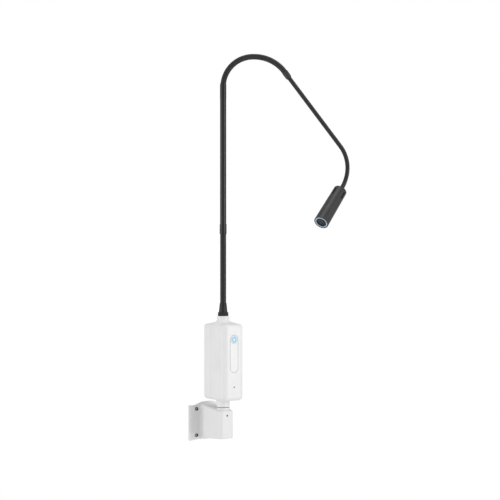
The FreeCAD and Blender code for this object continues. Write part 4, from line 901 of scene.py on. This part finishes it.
@dataclass
class Gooseneck:
    """One flexible stretch: a ribbed sleeve, made as one length for each joint that it crosses."""

    name: str
    start: float
    end: float
    free_start: float
    free_end: float
    bodies: Sequence[str]
    radius: float
    rib_pitch: float
    rib_depth: float
    finish: Finish
    slot: str = "black_sleeve"
    sides: int = 40
    shoulder_drop: ClassVar[float] = 0.35
    rib_steps: ClassVar[tuple[float, ...]] = (0.14, 0.20, 0.26, 0.20, 0.20)
    blend_share: ClassVar[float] = 0.42
    smooth_degrees: ClassVar[float] = 80

    @property
    def pitch(self) -> float:
        """Distance between two joints, in millimetres."""
        return (self.free_end - self.free_start) / (len(self.bodies) - 1)

    def pivot(self, k: int) -> float:
        """Distance of the k-th joint along the arm."""
        return self.free_start + self.pitch * (k + 0.5)

    def rib(self, name: str, pitch: float) -> Piece:
        """One rib: a ring that swells from valley to crest and back along +X.

        Args:
            name: the object's name.
            pitch: the rib's length, in metres.

        Returns:
            An open tube one rib long, starting at the origin.
        """
        crest = self.radius * MM
        valley = (self.radius - self.rib_depth) * MM
        shoulder = crest - self.shoulder_drop * (crest - valley)
        piece = new_primitive(
            name,
            bpy.ops.mesh.primitive_circle_add,
            vertices=self.sides,
            radius=valley,
            fill_type="NOTHING",
            rotation=(0, math.pi / 2, 0),
        )
        bpy.ops.object.transform_apply(location=True, rotation=True, scale=True)
        bpy.ops.object.mode_set(mode="EDIT")
        bpy.ops.mesh.select_all(action="SELECT")
        before = valley
        for radius, step in zip((valley, shoulder, crest, shoulder, valley), self.rib_steps):
            bpy.ops.mesh.extrude_region_move(TRANSFORM_OT_translate={"value": (step * pitch, 0, 0)})
            ratio = radius / before
            bpy.ops.transform.resize(value=(1, ratio, ratio))
            before = radius
        bpy.ops.object.mode_set(mode="OBJECT")
        return piece

    def length(self, line: Centreline, k: int) -> Piece:
        """The sleeve's length round the k-th joint, bent to the centreline.

        Args:
            line: the arm's centreline.
            k: the joint's number, from 0.

        Returns:
            The finished length, closed at both ends.
        """
        last = len(self.bodies) - 2
        low = self.start if k == 0 else self.pivot(k) - self.pitch / 2
        high = self.end if k == last else self.pivot(k) + self.pitch / 2
        name = f"{self.name}_{k + 1}"
        count = round((high - low) / self.rib_pitch)
        piece = self.rib(name, (high - low) / count * MM)
        repeat = piece.modifiers.new("ribs", "ARRAY")
        repeat.count = count
        repeat.use_merge_vertices = True
        repeat.merge_threshold = RIB_WELD
        repeat.relative_offset_displace = (1, 0, 0)
        path = line.curve(name + "_line", low, high)
        bend = piece.modifiers.new("bend", "CURVE")
        bend.object = path
        bend.deform_axis = "POS_X"
        apply_modifiers(piece)
        bpy.data.objects.remove(path)
        bpy.ops.object.mode_set(mode="EDIT")
        pick(piece, "EDGE", lambda edge: edge.is_boundary)
        bpy.ops.mesh.edge_face_add()
        bpy.ops.object.mode_set(mode="OBJECT")
        settle(piece, self.smooth_degrees)
        return piece

    def build(self, line: Centreline) -> None:
        """Make every length, dress it and hide the CAD nodes that it stands for.

        Args:
            line: the arm's centreline.
        """
        reach = self.blend_share * self.pitch
        for k in range(len(self.bodies) - 1):
            piece = self.length(line, k)
            dress(piece, self.finish)
            near, far = line.station(self.pivot(k) - reach), line.station(self.pivot(k) + reach)
            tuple(near.point)
            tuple(far.point)
            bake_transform(piece)
            stands_for = [f"{self.name}_{k + 1}"]
            if k == len(self.bodies) - 2:
                stands_for.append(f"{self.name}_{k + 2}")
            piece.name = f"{self.name}_skin_{k + 1}"
            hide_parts(*stands_for)
            LOG.info("%s: %d faces", piece.name, len(piece.data.polygons))


@dataclass
class Arm:
    """The arm's flexible pieces: its rubber boot and the sleeves of its three goosenecks."""

    layout: ArmLayout = field(default_factory=ArmLayout)
    line: Centreline = field(init=False)
    boot_ring_radius: float = 13.25
    boot_ring_height: float = 9.6
    boot_ring_round: float = 0.9
    boot_throat: float = 2.2
    throat_step: float = 0.2
    boot_root_radius: float = 10.7
    boot_tip_radius: float = 8.7
    boot_tip_round: float = 0.5
    boot_tip_inset: float = 0.4
    boot_flutes: int = 36
    flute_depth: float = 0.7
    flute_end: float = 0.5
    boot_overlap: float = 10.0
    adapter_seat: float = 6.0
    upper_seat: float = 10.0
    lower_radius: float = 7.9
    upper_radius: float = 7.35
    thick_rib_pitch: float = 2.9
    thick_rib_depth: float = 0.55
    thin_radius: float = 5.6
    thin_rib_pitch: float = 2.4
    thin_rib_depth: float = 0.4
    ring_face: ClassVar[float] = 0.93
    throat_swell: ClassVar[float] = 1.05
    ring_wall: ClassVar[float] = 0.97
    cone_shares: ClassVar[tuple[float, ...]] = (0.33, 0.66)
    sides_per_flute: ClassVar[int] = 4
    boot_smooth_degrees: ClassVar[float] = 35

    def __post_init__(self) -> None:
        """Lay the centreline."""
        self.line = self.layout.centreline()

    def goosenecks(self) -> Iterable[Gooseneck]:
        """List the flexible stretches.

        Returns:
            The lower, upper and thin gooseneck, in their order from the housing to the head.
        """
        lay = self.layout
        vinyl = Paint.SLEEVE_VINYL.value
        end = self.line.length
        head_start = end - lay.gland_seat
        lower = ("housing", "lower_link", "riser")
        upper = ("riser", "crest_link_1", "crest_link_2", "slope")
        thin = ("slope", "thin_link_1", "thin_link_2", "thin_link_3", "thin_link_4", "head")
        thick_ribs = (self.thick_rib_pitch, self.thick_rib_depth, vinyl)
        thin_ribs = (self.thin_rib_pitch, self.thin_rib_depth, vinyl)
        first, ferrule = lay.boot - self.boot_overlap, lay.ferrule_start
        yield Gooseneck(
            "lower_sleeve", first, ferrule, lay.boot, ferrule, lower, self.lower_radius, *thick_ribs
        )
        first, adapter = lay.upper_ferrule_end - self.upper_seat, lay.adapter_start
        yield Gooseneck(
            "upper_sleeve", first, adapter, lay.lip_end, adapter, upper, self.upper_radius, *thick_ribs
        )
        first, neck = lay.adapter_end - self.adapter_seat, lay.adapter_end
        yield Gooseneck(
            "thin_sleeve", first, end, neck, head_start, thin, self.thin_radius, *thin_ribs
        )

    def boot(self) -> Piece:
        """Model the rubber boot: a fluted grip ring, a throat and a cone that thins upwards.

        Returns:
            The boot, standing on the housing's neck.
        """
        height, ring = self.layout.boot * MM, self.boot_ring_height * MM
        throat = ring + self.boot_throat * MM
        edge, end = self.boot_ring_round * MM, self.flute_end * MM
        outer, face = self.boot_ring_radius * MM, self.ring_face * self.boot_ring_radius * MM
        root, tip = self.boot_root_radius * MM, self.boot_tip_radius * MM
        sides = self.boot_flutes * self.sides_per_flute
        piece = new_primitive(
            "neck_boot_skin",
            bpy.ops.mesh.primitive_circle_add,
            vertices=sides,
            radius=face,
            fill_type="NGON",
        )
        bpy.ops.object.mode_set(mode="EDIT")
        bpy.ops.mesh.select_all(action="SELECT")
        cone = [(root + (tip - root) * k, throat + (height - throat) * k) for k in self.cone_shares]
        rings = [
            (outer, edge),
            (outer, ring - edge),
            (face, ring),
            (root * self.throat_swell, ring + self.throat_step * MM),
            (root, throat),
            *cone,
            (tip, height - self.boot_tip_round * MM),
            (tip - self.boot_tip_inset * MM, height),
        ]
        radius, level = face, 0.0
        for new_radius, new_level in rings:
            bpy.ops.mesh.extrude_region_move(TRANSFORM_OT_translate={"value": (0, 0, new_level - level)})
            ratio = new_radius / radius
            bpy.ops.transform.resize(value=(ratio, ratio, 1), center_override=(0, 0, new_level))
            radius, level = new_radius, new_level
        step = 2 * math.pi / sides

        def in_flute(vertex: bmesh.types.BMVert) -> bool:
            """True on the two sides in every four that are the bottom of a flute."""
            number = round(math.atan2(vertex.co.y, vertex.co.x) / step) % self.sides_per_flute
            on_wall = end < vertex.co.z < ring - end
            return number in (0, 1) and on_wall and vertex.co.xy.length > outer * self.ring_wall

        pick(piece, "VERT", in_flute)
        shrink = 1 - self.flute_depth / self.boot_ring_radius
        bpy.ops.transform.resize(value=(shrink, shrink, 1), center_override=(0, 0, 0))
        bpy.ops.object.mode_set(mode="OBJECT")
        stand(piece, self.line.start.point, self.line.start.along)
        settle(piece, self.boot_smooth_degrees)
        return piece

    def build(self) -> None:
        """Make the boot and the sleeves."""
        boot = self.boot()
        dress(boot, Paint.BOOT_RUBBER.value)
        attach(boot, "housing")
        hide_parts("neck_boot")
        LOG.info("neck_boot_skin: %d faces", len(boot.data.polygons))
        for stretch in self.goosenecks():
            stretch.build(self.line)


# ---- pieces that keep their CAD shape ----------------------------------------------------------------
class Casework:
    """The CAD nodes that keep their own shape, dressed in their finishes."""

    def printed(self) -> dict[str, Finish]:
        """Make the finishes whose print is centred on their own piece.

        Returns:
            Each such node's name and its finish.
        """
        low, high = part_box("sensor_window")
        half = (high.x - low.x) / 2
        disc = middle("sensor_disc")
        ring = middle("light_ring")
        axis = (middle("front_window") - middle("led_board")).normalized()
        ends = (low.z + half, high.z - half)
        return {
            # inlaid film: as white as the housing round it, smoother, with a grey edge line of painted
            # shade from the groove round it
            "sensor_window": StripFilm("white_polycarbonate_film", "e9e9e9", 0.28, *ends, half / MM),
            # printed disc: light blue, glossier than the strip
            "sensor_disc": SensorFilm("printed_polyester_film", "a9d3e8", 0.25, tuple(disc)),
            # light guide round the lens: milky pale blue between two dark edges
            "light_ring": LightGuide("milky_polycarbonate", "a9c9e2", 0.35, tuple(ring), tuple(axis)),
        }

    def build(self) -> None:
        """Dress every CAD node that keeps its own shape."""
        for paint, nodes in DRESSED.items():
            for node in nodes:
                dress(frame["nodes"][node], paint.value)
        for node, finish in self.printed().items():
            dress(frame["nodes"][node], finish)
        LOG.info("dressed %d CAD nodes", sum(len(n) for n in DRESSED.values()) + len(self.printed()))


# ---- studio ------------------------------------------------------------------------------------------
@dataclass(frozen=True)
class Softbox:
    """One soft rectangular light: where it hangs, its size in metres and its power."""

    name: str
    place: Place
    width: float
    height: float
    watts: float

    def hang(self, target: Vector) -> None:
        """Add the light.

        Args:
            target: the place that it faces.
        """
        data = bpy.data.lights.new(self.name, "AREA")
        data.shape = "RECTANGLE"
        data.size = self.width
        data.size_y = self.height
        data.energy = self.watts
        light = bpy.data.objects.new(self.name, data)
        light.location = self.place
        light.rotation_euler = (target - Vector(self.place)).to_track_quat("-Z", "Y").to_euler()
        bpy.context.scene.collection.objects.link(light)


@dataclass
class Studio:
    """Pale floor, soft lights, white surroundings and the camera."""

    floor_level: float = -1.1
    floor_radius: float = 3.1
    floor_sides: int = 256
    surroundings: float = 0.58
    camera_place: Place = (-1.341, -2.1885, 0.3467)
    camera_heading: float = -34.0
    lens: float = 70.6
    film_width: float = 36.0
    lift: float = 0.08
    softboxes: tuple[Softbox, ...] = (
        Softbox("key_softbox", (1.1, -2.4, 0.5), 0.8, 2.2, 30),
        Softbox("side_softbox", (-2.4, 0.4, 0.5), 1.6, 2.2, 25),
        Softbox("top_softbox", (0.3, -0.4, 2.8), 1.2, 1.2, 14),
    )

    def floor(self) -> None:
        """A wide pale floor under the lamp."""
        place = (0, 0, self.floor_level)
        piece = new_primitive(
            "studio_floor",
            bpy.ops.mesh.primitive_circle_add,
            vertices=self.floor_sides,
            radius=self.floor_radius,
            fill_type="NGON",
            location=place,
        )
        dress(piece, Moulding("matt_studio_floor", "f4f4f4", 0.9, "f3f3f3", 3.0, 0.01))

    def surround(self) -> None:
        """White surroundings that light the lamp less than they show behind it."""
        world = bpy.data.worlds.new("white_studio")
        bpy.context.scene.world = world
        world.use_nodes = True
        tree = world.node_tree
        tree.nodes.clear()
        white = (1, 1, 1, 1)
        lit = add(tree, "ShaderNodeBackground", inputs={"Color": white, "Strength": self.surroundings})
        seen = add(tree, "ShaderNodeBackground", inputs={"Color": white, "Strength": 1.0})
        rays = add(tree, "ShaderNodeLightPath").outputs["Is Camera Ray"]
        mix = add(tree, "ShaderNodeMixShader", inputs={0: rays, 1: lit.outputs[0], 2: seen.outputs[0]})
        add(tree, "ShaderNodeOutputWorld", inputs={"Surface": mix.outputs[0]})

    def camera(self) -> None:
        """The camera, level, in front of the lamp and to its left."""
        data = bpy.data.cameras.new("camera")
        data.lens = self.lens
        data.sensor_width = self.film_width
        data.shift_y = self.lift
        camera = bpy.data.objects.new("camera", data)
        camera.location = self.camera_place
        camera.rotation_euler = (math.pi / 2, 0, math.radians(self.camera_heading))
        bpy.context.scene.collection.objects.link(camera)
        bpy.context.scene.camera = camera

    def build(self) -> None:
        """Set the floor, the lights, the surroundings and the camera."""
        self.floor()
        self.surround()
        target = (CAD_BOX[0] + CAD_BOX[1]) / 2
        for softbox in self.softboxes:
            softbox.hang(target)
        self.camera()
        bpy.context.scene.view_settings.view_transform = "Standard"


def main() -> None:
    """Build the lamp's pieces, then the studio."""
    logging.basicConfig(level=logging.INFO, format="%(name)s: %(message)s")
    for part in (Casework(), Arm(), Studio()):
        part.build()
        LOG.info("%s done", type(part).__name__)
    deselect()


if __name__ == "__main__":
    main()
